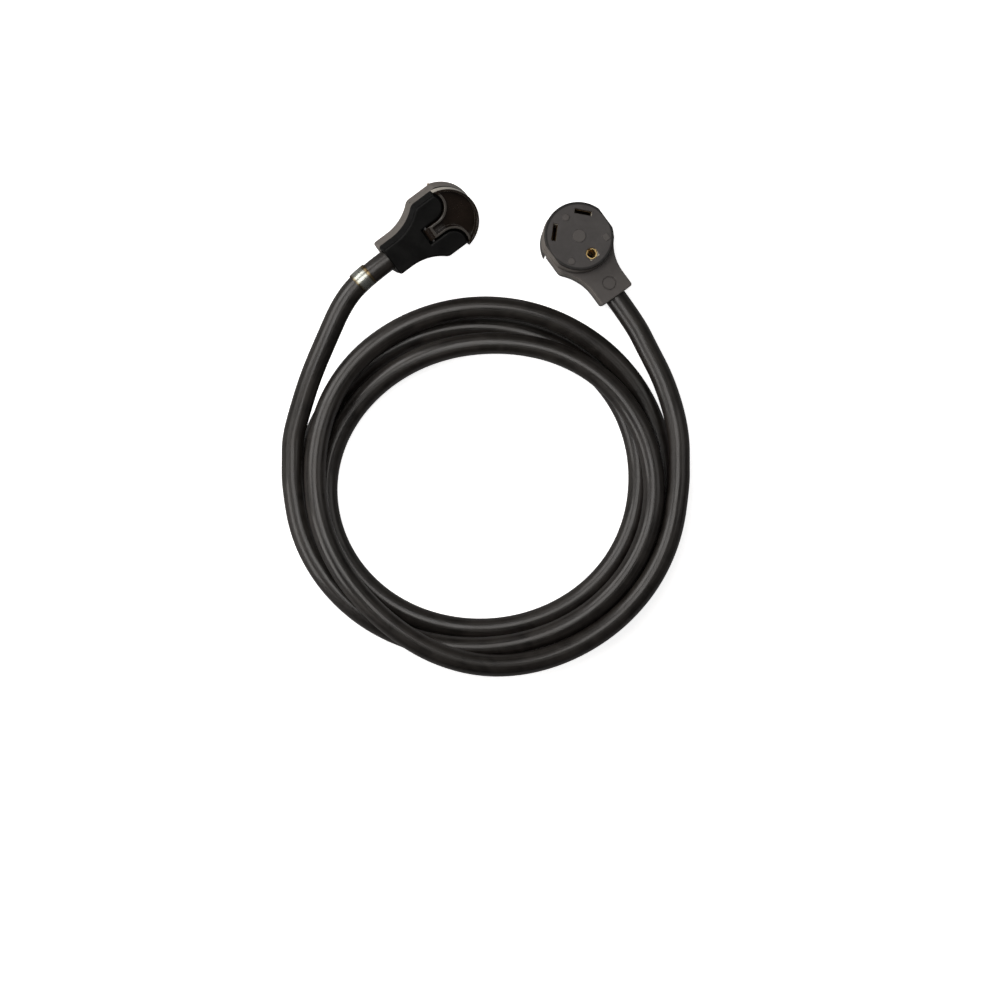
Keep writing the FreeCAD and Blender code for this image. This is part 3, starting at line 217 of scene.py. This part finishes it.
# The photograph: its side in pixels, its scale in metres for each pixel, where the middle of the
# coil is in it, and how steeply it looks down.
PICTURE = 1000
PIXEL = 0.00074
COIL_IN_PICTURE = (484.0, 486.2)
ELEVATION = math.radians(86.0)
LENS = 135.0
SENSOR = 36.0
FAR_CLIP = 20.0


def make_camera():
    """Looks at the photograph's middle, at the height of the lowest cord."""
    data = bpy.data.cameras.new("camera")
    data.lens = LENS
    data.sensor_width = SENSOR
    data.clip_end = FAR_CLIP
    camera = bpy.data.objects.new("camera", data)
    bpy.context.collection.objects.link(camera)
    bpy.context.scene.camera = camera
    distance = PICTURE * PIXEL * LENS / SENSOR
    right, down = COIL_IN_PICTURE
    aim_x = COIL_MIDDLE.x + PIXEL * (PICTURE / 2 - right)
    aim_y = COIL_MIDDLE.y + PIXEL * (down - PICTURE / 2) / math.sin(ELEVATION)
    aim = Vector((aim_x, aim_y, CORD_RADIUS))
    away = Vector((0, -math.cos(ELEVATION), math.sin(ELEVATION)))
    camera.location = aim + away * distance
    camera.rotation_euler = (math.pi / 2 - ELEVATION, 0, 0)


make_camera()
cord = make_cord()
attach(cord, "cord_set")
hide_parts("cord_lead_plug", "cord_coil", "cord_lead_connector")


# Finishes. Each is made of nodes, in the metres of the object's own coordinates.

# The sockets of a node that mixes colours.
MIX_SHARE = 0
MIX_FIRST = 6
MIX_SECOND = 7
MIX_RESULT = 2

# How far the normal of a rounded copy turns away, from the border of an edge to its middle.
EDGE_TURN = (0.03, 0.25)


class Finish:
    """A procedural material, built node by node round its shader."""

    def __init__(self, name, roughness, metallic=0.0, specular=0.5):
        self.material = bpy.data.materials.new(name)
        self.material.use_nodes = True
        self.tree = self.material.node_tree
        self.shader = self.tree.nodes["Principled BSDF"]
        self.shader.inputs["Roughness"].default_value = roughness
        self.shader.inputs["Metallic"].default_value = metallic
        self.shader.inputs["Specular IOR Level"].default_value = specular
        self.place = self.node("ShaderNodeTexCoord").outputs["Object"]

    def node(self, kind, values=None, **settings):
        """Adds a node. Each value is a number, a vector, a colour or a socket to link."""
        made = self.tree.nodes.new(kind)
        for key, value in settings.items():
            setattr(made, key, value)
        for key, value in (values or {}).items():
            if isinstance(value, bpy.types.NodeSocket):
                self.tree.links.new(value, made.inputs[key])
            else:
                made.inputs[key].default_value = value
        return made

    def link(self, key, socket):
        self.tree.links.new(socket, self.shader.inputs[key])

    def math(self, operation, first, second=0.0):
        return self.node("ShaderNodeMath", {0: first, 1: second}, operation=operation).outputs[0]

    def product(self, first, second):
        return self.math("MULTIPLY", first, second)

    def total(self, first, second):
        return self.math("ADD", first, second)

    def noise(self, size, detail=3.0, rough=0.55, place=None, bend=0.0):
        """Cloudy noise whose patches are about that large, in metres."""
        values = {"Vector": place or self.place, "Scale": 1.0 / size, "Detail": detail,
                  "Roughness": rough, "Distortion": bend}
        return self.node("ShaderNodeTexNoise", values).outputs["Fac"]

    def spread(self, source, low, high, to_low=0.0, to_high=1.0):
        """Maps low to to_low and high to to_high, and stays between them."""
        values = {"Value": source, "From Min": low, "From Max": high,
                  "To Min": to_low, "To Max": to_high}
        return self.node("ShaderNodeMapRange", values).outputs["Result"]

    def blend(self, share, first, second):
        """A colour between two, each a colour or a socket."""
        values = {MIX_SHARE: share}
        for key, value in ((MIX_FIRST, first), (MIX_SECOND, second)):
            values[key] = value if isinstance(value, bpy.types.NodeSocket) else (*value, 1.0)
        return self.node("ShaderNodeMix", values, data_type="RGBA").outputs[MIX_RESULT]

    def along(self, origin, axis):
        """The distance from a point along an axis, in metres."""
        moved = self.node("ShaderNodeVectorMath", {0: self.place, 1: tuple(origin)},
                          operation="SUBTRACT").outputs["Vector"]
        return self.node("ShaderNodeVectorMath", {0: moved, 1: tuple(axis)},
                         operation="DOT_PRODUCT").outputs["Value"]

    def edges(self, width):
        """The normal of a copy with rounded edges, and how near the surface is to an edge."""
        soft = self.node("ShaderNodeBevel", {"Radius": width}, samples=4).outputs["Normal"]
        true = self.node("ShaderNodeNewGeometry").outputs["Normal"]
        same = self.node("ShaderNodeVectorMath", {0: soft, 1: true}, operation="DOT_PRODUCT")
        turned = self.math("SUBTRACT", 1.0, same.outputs["Value"])
        return soft, self.spread(turned, *EDGE_TURN)

    def bump(self, height, strength, distance, normal=None):
        values = {"Height": height, "Strength": strength, "Distance": distance}
        if normal is not None:
            values["Normal"] = normal
        self.link("Normal", self.node("ShaderNodeBump", values).outputs["Normal"])


# The sizes of the patches in moulded plastic, and of its edges, seam and bump.
CLOUD_SIZE = 0.016
FLOW_SIZE = 0.0035
EDGE_WIDTH = 0.0006
SEAM_BORDER = (0.00012, 0.00035)
SEAM_DARK = 0.85
SEAM_COLOR = (0.004, 0.004, 0.004)
GRAIN_HEIGHT = 0.00006


def moulded(name, tones, roughness, grain, relief, edge=None, seam=None, specular=0.5, paint=None):
    """Moulded plastic: cloudy tone, eroded grain, softer edges and a dark seam. A paler edge colour
    paints a highlight along the edges, and a darker one paints shade there.

    paint takes the finish, the share of the pale tone and the colour, and gives a colour.
    """
    finish = Finish(name, roughness, specular=specular)
    clouds = finish.noise(CLOUD_SIZE, detail=5.0, rough=0.6, bend=0.6)
    flow = finish.noise(FLOW_SIZE, detail=4.0, rough=0.6)
    share = finish.spread(finish.total(clouds, finish.product(flow, 0.4)), 0.5, 0.95)
    color = finish.blend(share, *tones)
    if paint:
        color = paint(finish, share, color)
    soft, near_edge = finish.edges(EDGE_WIDTH)
    # Painted edge light: the edge colour is a painted highlight where it is paler than the tones,
    # and painted shade where it is darker.
    if edge:
        edge_highlight_and_shade = finish.product(near_edge, finish.spread(flow, 0.3, 0.7, to_low=0.35))
        color = finish.blend(edge_highlight_and_shade, color, edge)
    if seam:
        away = finish.math("ABSOLUTE", finish.along(*seam))
        dark = finish.spread(away, *SEAM_BORDER, to_low=SEAM_DARK, to_high=0.0)
        color = finish.blend(dark, color, SEAM_COLOR)
    finish.link("Base Color", color)
    eroded = finish.noise(grain, detail=2.0, rough=0.7)
    finish.link("Roughness", finish.spread(finish.total(eroded, clouds), 0.7, 1.3,
                                           to_low=roughness - 0.07, to_high=roughness + 0.08))
    height = finish.total(eroded, finish.product(flow, 0.5))
    finish.bump(height, strength=relief, distance=GRAIN_HEIGHT, normal=soft)
    return finish.material


# The jacket's rubber: how fine its lines are along and round the cord, and its patches and dust.
LINE_SCALE = (26.0, 20.0, 1.0)
SCUFF_SIZE = 0.02
SPECK_SIZE = 0.0011
DUST_COLOR = (0.09, 0.082, 0.075)
COAT_WEIGHT = 0.22
COAT_ROUGHNESS = 0.12
LINE_HEIGHT = 0.0004


def jacket(name, tones):
    """The cord's rubber: fine lines along it from the die, dust, and scuffs."""
    finish = Finish(name, roughness=0.42, specular=0.4)
    finish.shader.inputs["Coat Weight"].default_value = COAT_WEIGHT
    finish.shader.inputs["Coat Roughness"].default_value = COAT_ROUGHNESS
    flat = finish.node("ShaderNodeTexCoord").outputs["UV"]
    stretched = finish.node("ShaderNodeMapping", {"Vector": flat, "Scale": LINE_SCALE})
    lines = finish.noise(1.0, rough=0.6, place=stretched.outputs["Vector"])
    clouds = finish.noise(SCUFF_SIZE, detail=5.0, rough=0.62, bend=0.8)
    speck = finish.noise(SPECK_SIZE, detail=2.0, rough=0.6)
    share = finish.spread(finish.total(clouds, finish.product(lines, 0.8)), 0.65, 1.1)
    dust = finish.spread(speck, 0.68, 0.8, to_high=0.35)
    finish.link("Base Color", finish.blend(dust, finish.blend(share, *tones), DUST_COLOR))
    finish.link("Roughness", finish.spread(finish.total(lines, clouds), 0.75, 1.25,
                                           to_low=0.3, to_high=0.52))
    relief = finish.total(finish.product(lines, 1.2), finish.product(speck, 0.2))
    finish.bump(relief, strength=0.75, distance=LINE_HEIGHT)
    return finish.material


# The sizes of a metal's scratches, tarnish and edges.
SCRATCH_SIZE = 0.0004
SCRATCH_HEIGHT = 0.00004
TARNISH_SIZE = 0.004
METAL_EDGE_WIDTH = 0.0003


def metal(name, tones, roughness):
    """Bare metal, with a little tarnish and some scratches."""
    finish = Finish(name, roughness, metallic=1.0)
    scratches = finish.noise(SCRATCH_SIZE, rough=0.7)
    tarnish = finish.noise(TARNISH_SIZE, detail=5.0, rough=0.65, bend=1.0)
    finish.link("Base Color", finish.blend(finish.spread(tarnish, 0.35, 0.68), *tones))
    finish.link("Roughness", finish.spread(finish.total(scratches, tarnish), 0.7, 1.3,
                                           to_low=roughness - 0.08, to_high=roughness + 0.14))
    soft = finish.edges(METAL_EDGE_WIDTH)[0]
    finish.bump(scratches, strength=0.25, distance=SCRATCH_HEIGHT, normal=soft)
    return finish.material


# The band: half its length and a little more, and its colours from the plug's end to the coil's,
# with a painted highlight in the bright silver middle and painted shade at the darkest ends.
FOIL_HALF = 0.0062
FOIL_WAVE = 0.0009
FOIL_WAVE_SIZE = 0.004
CREASE_SIZE = 0.0025
CREASE_HEIGHT = 0.0002
CREASE_COLOR = (0.2, 0.19, 0.16)
FOIL_COLOR_AND_LIGHT_STOPS = [
    (0.0, (0.06, 0.042, 0.02)),
    (0.08, (0.17, 0.125, 0.06)),
    (0.16, (0.13, 0.115, 0.085)),
    (0.24, (0.3, 0.31, 0.28)),
    (0.62, (0.36, 0.38, 0.35)),
    (0.84, (0.28, 0.285, 0.25)),
    (0.93, (0.12, 0.095, 0.05)),
    (1.0, (0.04, 0.032, 0.022)),
]


def foil(name):
    """The bare metallic band: silver in the middle, with golden and brown edges. The bright silver
    middle is partly a painted highlight, and the darkest ends partly painted shade.
    """
    finish = Finish(name, roughness=0.3, metallic=0.85)
    low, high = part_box("cord_band")
    middle = (Vector(low) + Vector(high)) / 2
    start = in_head("plug", (0, 0, 0))
    axis = (COIL_MIDDLE + Vector(PLUG_LEAD[0]) - start).normalized()
    centred = finish.math("SUBTRACT", finish.noise(FOIL_WAVE_SIZE), 0.5)
    place = finish.total(finish.along(middle, axis), finish.product(centred, FOIL_WAVE))
    share = finish.spread(place, -FOIL_HALF, FOIL_HALF)
    ramp = finish.node("ShaderNodeValToRGB", {"Fac": share})
    elements = ramp.color_ramp.elements
    while len(elements) < len(FOIL_COLOR_AND_LIGHT_STOPS):
        elements.new(0.5)
    for element, (position, color) in zip(elements, FOIL_COLOR_AND_LIGHT_STOPS):
        element.position = position
        element.color = (*color, 1.0)
    creases = finish.noise(CREASE_SIZE, detail=4.0, rough=0.6, bend=1.5)
    dull = finish.spread(creases, 0.55, 0.75, to_high=0.4)
    finish.link("Base Color", finish.blend(dull, ramp.outputs["Color"], CREASE_COLOR))
    finish.link("Roughness", finish.spread(creases, 0.3, 0.7, to_low=0.22, to_high=0.36))
    finish.bump(creases, strength=0.3, distance=CREASE_HEIGHT)
    return finish.material


# Places on a head, for the paint.

def seam_of(name):
    """The plane where the two shells of a head meet."""
    return in_head(name, (0, 0, PARTING)), head_axis(name, (0, 0, 1))


def level_in(finish, name, height):
    """How far in front of a level of the head the surface is, in metres."""
    return finish.along(in_head(name, (0, 0, height)), head_axis(name, (0, 0, 1)))


def from_nose_along(finish, name, axis):
    """How far the surface is from the middle of the nose along one of the head's axes."""
    return finish.along(in_head(name, (NOSE_X, 0, 0)), head_axis(name, axis))


def from_nose(finish, name):
    """The distance from the axis of the round nose, in metres."""
    forward = from_nose_along(finish, name, (1, 0, 0))
    aside = from_nose_along(finish, name, (0, 1, 0))
    squares = finish.total(finish.product(forward, forward), finish.product(aside, aside))
    return finish.math("SQRT", squares)


def facing(finish, name):
    """How squarely the surface faces along the head's own z axis, from 0 to 1."""
    normal = finish.node("ShaderNodeNewGeometry").outputs["Normal"]
    values = {0: normal, 1: tuple(head_axis(name, (0, 0, 1)))}
    square = finish.node("ShaderNodeVectorMath", values, operation="DOT_PRODUCT").outputs["Value"]
    return finish.math("ABSOLUTE", square)


# Where painted areas of a front shell begin and end, in metres, and how strong they are: painted
# light on its sides, marks and ring, and painted shade on the rim and the foot of its disc. A
# facing is 1 where the surface looks along the head's z axis.
MARK_BORDER = (-0.0001, 0.0001)
MARK_HIGHLIGHT = 0.14
NECK_PALER = 0.13
RING_HIGHLIGHT = 2.6
LIT_SIDE_FACING = (0.45, 0.8)
RIM_FROM_NOSE = (0.0234, 0.0241)
RIM_LEVEL = (-0.0016, -0.001)
RIM_SHADE = 0.85
RIM_SHADE_COLOR = (0.005, 0.0045, 0.004)
FOOT_LEVEL = (0.0007, 0.0075)
FOOT_SHADE = 0.8
FOOT_FROM_NOSE = (0.0265, 0.0262)
FOOT_BEHIND = (-0.004, -0.012)
FOOT_ABOVE = (0.0005, 0.0008)
FOOT_SHADE_COLOR = (0.008, 0.007, 0.0065)


def shell_painter(name, side):
    """The paint of a front shell, from the tones of its sides, which are painted paler than its
    faces as lit flanks.

    Its neck is slightly paler too, and its marks and raised ring carry a painted highlight. The rim
    of its disc is painted shade, and so is the foot of the disc towards the neck, a painted shadow.
    """
    def paint(finish, share, color):
        pale = side[1]
        # Painted highlight: the raised marks on the face are paler.
        over_face = level_in(finish, name, FACE + MARK / 2)
        marks = finish.spread(over_face, *MARK_BORDER, to_high=MARK_HIGHLIGHT)
        color = finish.blend(marks, color, pale)
        # The neck is slightly paler, and its raised ring carries a painted highlight, paler still.
        over_ring = level_in(finish, name, FRONT + 2 * MARK)
        neck = finish.spread(over_ring, *MARK_BORDER, to_low=NECK_PALER, to_high=0.0)
        over_neck = level_in(finish, name, FRONT + MARK / 2)
        ring = finish.spread(over_neck, *MARK_BORDER, to_low=1.0, to_high=RING_HIGHLIGHT)
        color = finish.blend(finish.product(neck, ring), color, pale)
        # Painted light: surfaces that face aside take the paler side tones, as lit flanks.
        aside = finish.spread(facing(finish, name), *LIT_SIDE_FACING, to_low=1.0, to_high=0.0)
        color = finish.blend(aside, color, finish.blend(share, *side))
        # Painted shade: a dark band round the outer edge of the disc, just below its face.
        rim = finish.spread(from_nose(finish, name), *RIM_FROM_NOSE, to_high=RIM_SHADE)
        high = finish.spread(level_in(finish, name, FACE), *RIM_LEVEL)
        color = finish.blend(finish.product(rim, high), color, RIM_SHADE_COLOR)
        # Painted shadow: the disc's wall is darker low down towards the neck, where the disc's
        # shade falls.
        over_front = level_in(finish, name, FRONT)
        foot = finish.spread(over_front, *FOOT_LEVEL, to_low=FOOT_SHADE, to_high=0.0)
        inward = finish.spread(from_nose(finish, name), *FOOT_FROM_NOSE)
        behind = finish.spread(from_nose_along(finish, name, (1, 0, 0)), *FOOT_BEHIND)
        above = finish.spread(over_front, *FOOT_ABOVE)
        foot_shade = finish.product(finish.product(foot, inward), finish.product(behind, above))
        return finish.blend(foot_shade, color, FOOT_SHADE_COLOR)
    return paint


# The same for the painted reflection on the outer wall and the painted highlight on the inner rim
# of the plug's handle.
WALL_FROM_NOSE = (0.0241, 0.0245)
WALL_ASIDE = (-0.0115, -0.003)
WALL_LEVEL = (0.0004, 0.0008)
WALL_REFLECTION_LEAST = 0.05
INNER_FROM_NOSE = (0.0215, 0.0225)
INNER_LEVEL = (0.0003, 0.0009)
INNER_HIGHLIGHT = 0.8
WALL_REFLECTION_COLOR = (0.5, 0.47, 0.41)
RIM_HIGHLIGHT_COLOR = (0.08, 0.074, 0.067)


def paint_plug_handle(finish, share, color):
    """The plug's handle: its outer wall is paler on one side, a painted reflection, and its inner
    rim is paler, a painted highlight.
    """
    out = from_nose(finish, "plug")
    aside = from_nose_along(finish, "plug", (0, 1, 0))
    depth = level_in(finish, "plug", BACK)
    # Painted reflection: the outer wall is pale on one side.
    outside = finish.spread(out, *WALL_FROM_NOSE)
    reflection_side = finish.spread(aside, *WALL_ASIDE, to_low=1.0, to_high=WALL_REFLECTION_LEAST)
    wall = finish.product(finish.product(outside, reflection_side), finish.spread(depth, *WALL_LEVEL))
    # Painted highlight: a paler band along the inner rim.
    inside = finish.spread(out, *INNER_FROM_NOSE, to_low=1.0, to_high=0.0)
    edge_highlight_and_shade = finish.spread(depth, *INNER_LEVEL, to_low=INNER_HIGHLIGHT, to_high=0.0)
    color = finish.blend(finish.product(inside, edge_highlight_and_shade), color, RIM_HIGHLIGHT_COLOR)
    return finish.blend(wall, color, WALL_REFLECTION_COLOR)


# The same for the painted shade on the sides of the plug's back cover.
COVER_SIDE_FACING = (0.6, 0.95)
COVER_SIDE_SHADE_COLOR = (0.001, 0.001, 0.001)


def paint_plug_cover(finish, share, color):
    """The plug's back cover: blacker on its sides than on its back, a painted shade."""
    side = finish.spread(facing(finish, "plug"), *COVER_SIDE_FACING, to_low=1.0, to_high=0.0)
    return finish.blend(side, color, COVER_SIDE_SHADE_COLOR)


# The small moulding hole in the side of the plug's front shell, in the head's own axes, painted as
# a dark spot of shade.
HOLE_PLACE = (0.0388, -0.0245, 0.004)
HOLE_BORDER = (0.0007, 0.001)
HOLE_SHADE = 0.85
HOLE_SHADE_COLOR = (0.01, 0.01, 0.01)


def paint_plug_shell(finish, share, color):
    """The plug's front shell, with the shade of its moulding hole painted as a dark spot."""
    color = shell_painter("plug", PLUG_LIT_SIDE)(finish, share, color)
    centre = tuple(in_head("plug", HOLE_PLACE))
    away = finish.node("ShaderNodeVectorMath", {0: finish.place, 1: centre},
                       operation="DISTANCE").outputs["Value"]
    hole = finish.spread(away, *HOLE_BORDER, to_low=HOLE_SHADE, to_high=0.0)
    return finish.blend(hole, color, HOLE_SHADE_COLOR)


# The deep and the pale tone of each finish, as linear colours.
JACKET_BLACK = (0.0045, 0.0036, 0.003), (0.021, 0.0178, 0.0152)
COVER_BLACK = (0.0055, 0.0055, 0.0055), (0.0115, 0.0115, 0.0112)
COVER_GRAY = (0.06, 0.054, 0.05), (0.09, 0.082, 0.076)
SHELL_GRAY = (0.052, 0.048, 0.047), (0.07, 0.0655, 0.064)
# The side tones are painted light: much paler than the faces, as lit flanks.
PLUG_LIT_SIDE = (0.115, 0.104, 0.093), (0.175, 0.158, 0.143)
CONNECTOR_LIT_SIDE = (0.155, 0.14, 0.126), (0.23, 0.208, 0.188)
HANDLE_BROWN = (0.01, 0.0065, 0.0045), (0.02, 0.013, 0.009)
HANDLE_GRAY = (0.026, 0.0235, 0.022), (0.038, 0.0345, 0.033)
NYLON = (0.42, 0.38, 0.3), (0.55, 0.51, 0.42)
WIRE_BLACK = (0.008, 0.008, 0.008), (0.016, 0.016, 0.016)
WIRE_WHITE = (0.6, 0.59, 0.56), (0.72, 0.71, 0.68)
WIRE_GREEN = (0.01, 0.16, 0.04), (0.015, 0.24, 0.06)
BRASS = (0.42, 0.24, 0.06), (0.8, 0.52, 0.2)
GOLD = (0.7, 0.46, 0.16), (0.98, 0.74, 0.36)
SLOT_SHADE_BRASS = (0.02, 0.013, 0.007), (0.07, 0.045, 0.022)
STEEL = (0.28, 0.28, 0.28), (0.5, 0.5, 0.49)


def wire(name, tones):
    return moulded(name, tones, roughness=0.35, grain=0.0012, relief=0.2)


def common_finishes():
    """The finishes that both heads share, by the end of the node's name."""
    brass = metal("brass", BRASS, roughness=0.3)
    steel = metal("steel", STEEL, roughness=0.32)
    return {
        "cord_end": jacket("rubber_end", JACKET_BLACK),
        "carrier": moulded("nylon", NYLON, roughness=0.42, grain=0.0006, relief=0.2),
        "hot_wire": wire("wire_insulation_black", WIRE_BLACK),
        "neutral_wire": wire("wire_insulation_white", WIRE_WHITE),
        "ground_wire": wire("wire_insulation_green", WIRE_GREEN),
        "blade": brass,
        "contact": brass,
        "ground_pin": brass,
        "screws": steel,
        "handle_pin": steel,
        "cord_clamp": steel,
    }


def own_finishes():
    """The finishes of single nodes, some in place of a common one."""
    # Painted shade: the flat contacts deep in the slots are a dark brass that stands for the slots'
    # shade.
    slot_shaded_brass = metal("slot_shade_brass", SLOT_SHADE_BRASS, roughness=0.45)
    # Each edge colour is painted edge light: the paler ones are a painted highlight, the darker
    # ones painted shade.
    return {
        "plug_front_shell": moulded(
            "warm_gray", SHELL_GRAY, roughness=0.5, grain=0.0004, relief=0.5,
            edge=(0.05, 0.045, 0.04), seam=seam_of("plug"), paint=paint_plug_shell),
        "plug_back_cover": moulded(
            "satin_black", COVER_BLACK, roughness=0.42, grain=0.0005, relief=0.3, specular=0.1,
            edge=(0.045, 0.045, 0.043), seam=seam_of("plug"), paint=paint_plug_cover),
        "plug_handle": moulded(
            "gloss_brown_black", HANDLE_BROWN, roughness=0.2, grain=0.0009, relief=0.12,
            edge=(0.17, 0.157, 0.14), paint=paint_plug_handle),
        "connector_front_shell": moulded(
            "dark_gray", SHELL_GRAY, roughness=0.5, grain=0.0004, relief=0.5, specular=0.32,
            edge=(0.012, 0.0108, 0.0096), seam=seam_of("connector"),
            paint=shell_painter("connector", CONNECTOR_LIT_SIDE)),
        "connector_back_cover": moulded(
            "cover_gray", COVER_GRAY, roughness=0.48, grain=0.0004, relief=0.5,
            edge=(0.02, 0.018, 0.016), seam=seam_of("connector")),
        "connector_handle": moulded(
            "handle_gray", HANDLE_GRAY, roughness=0.42, grain=0.0006, relief=0.3,
            edge=(0.12, 0.11, 0.1)),
        "connector_hot_contact": slot_shaded_brass,
        "connector_neutral_contact": slot_shaded_brass,
        "connector_ground_contact": metal("gold_brass", GOLD, roughness=0.34),
        "cord_band": foil("foil_band"),
    }


def dress(node, material):
    """Gives a CAD node its finish."""
    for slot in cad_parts[node].material_slots:
        slot.material = material


def dress_frame():
    common = common_finishes()
    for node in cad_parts:
        for ending, material in common.items():
            if node.endswith(ending):
                dress(node, material)
    for node, material in own_finishes().items():
        dress(node, material)


dress_frame()
cord.data.materials.append(jacket("cord_rubber", JACKET_BLACK))


# Floor, light and world.
FLOOR_HALF = 6.0
FLOOR_GRAIN = 0.003
FLOOR_PALE = (0.9, 0.9, 0.9), (0.93, 0.93, 0.93)
FLOOR_GLOW = 0.8
FLOOR_DULL = (0.35, 0.35, 0.35, 1)
WHITE = (1, 1, 1, 1)
WORLD_STRENGTH = 0.045
LAMP_COLOR = (1.0, 0.97, 0.945)
LAMP_AIM = (0, -0.1, 0)

# Each lamp: its name, place, size and power.
LAMPS = [
    ("overhead", (-0.15, 0.05, 1.15), (0.6, 0.6), 5.2),
    ("left", (-1.0, 0.55, 0.9), (0.9, 0.7), 10),
    ("low_left", (-1.0, -0.45, 0.55), (0.6, 0.5), 5),
    ("right", (1.0, 0.1, 1.0), (0.7, 0.7), 2.2),
]


def floor_finish():
    """A pale floor that the camera sees as white, with the object's soft shadow."""
    finish = Finish("floor_white", roughness=0.8, specular=0.1)
    grain = finish.noise(FLOOR_GRAIN)
    finish.link("Base Color", finish.blend(grain, *FLOOR_PALE))
    finish.shader.inputs["Emission Color"].default_value = WHITE
    finish.shader.inputs["Emission Strength"].default_value = FLOOR_GLOW
    dull = finish.node("ShaderNodeBsdfDiffuse", {"Color": FLOOR_DULL})
    path = finish.node("ShaderNodeLightPath")
    mix = finish.node("ShaderNodeMixShader", {0: path.outputs["Is Camera Ray"],
                                             1: dull.outputs[0], 2: finish.shader.outputs[0]})
    end = finish.tree.nodes["Material Output"]
    finish.tree.links.new(mix.outputs[0], end.inputs["Surface"])
    return finish.material


def make_floor():
    size = FLOOR_HALF
    mesh = bpy.data.meshes.new("floor")
    corners = [(-size, -size, 0), (size, -size, 0), (size, size, 0), (-size, size, 0)]
    mesh.from_pydata(corners, [], [(0, 1, 2, 3)])
    floor = bpy.data.objects.new("floor", mesh)
    bpy.context.collection.objects.link(floor)
    mesh.materials.append(floor_finish())


def make_lamp(name, place, size, power):
    data = bpy.data.lights.new(name, "AREA")
    data.shape = "RECTANGLE"
    data.size, data.size_y = size
    data.energy = power
    data.color = LAMP_COLOR
    lamp = bpy.data.objects.new(name, data)
    lamp.location = place
    lamp.rotation_euler = (Vector(LAMP_AIM) - Vector(place)).to_track_quat("-Z", "Y").to_euler()
    bpy.context.collection.objects.link(lamp)


def make_light():
    world = bpy.data.worlds.new("studio")
    bpy.context.scene.world = world
    world.use_nodes = True
    background = world.node_tree.nodes["Background"]
    background.inputs["Color"].default_value = WHITE
    background.inputs["Strength"].default_value = WORLD_STRENGTH
    for lamp in LAMPS:
        make_lamp(*lamp)


make_floor()
make_light()

bpy.context.scene.view_settings.view_transform = "Standard"

bpy.context.view_layer.update()
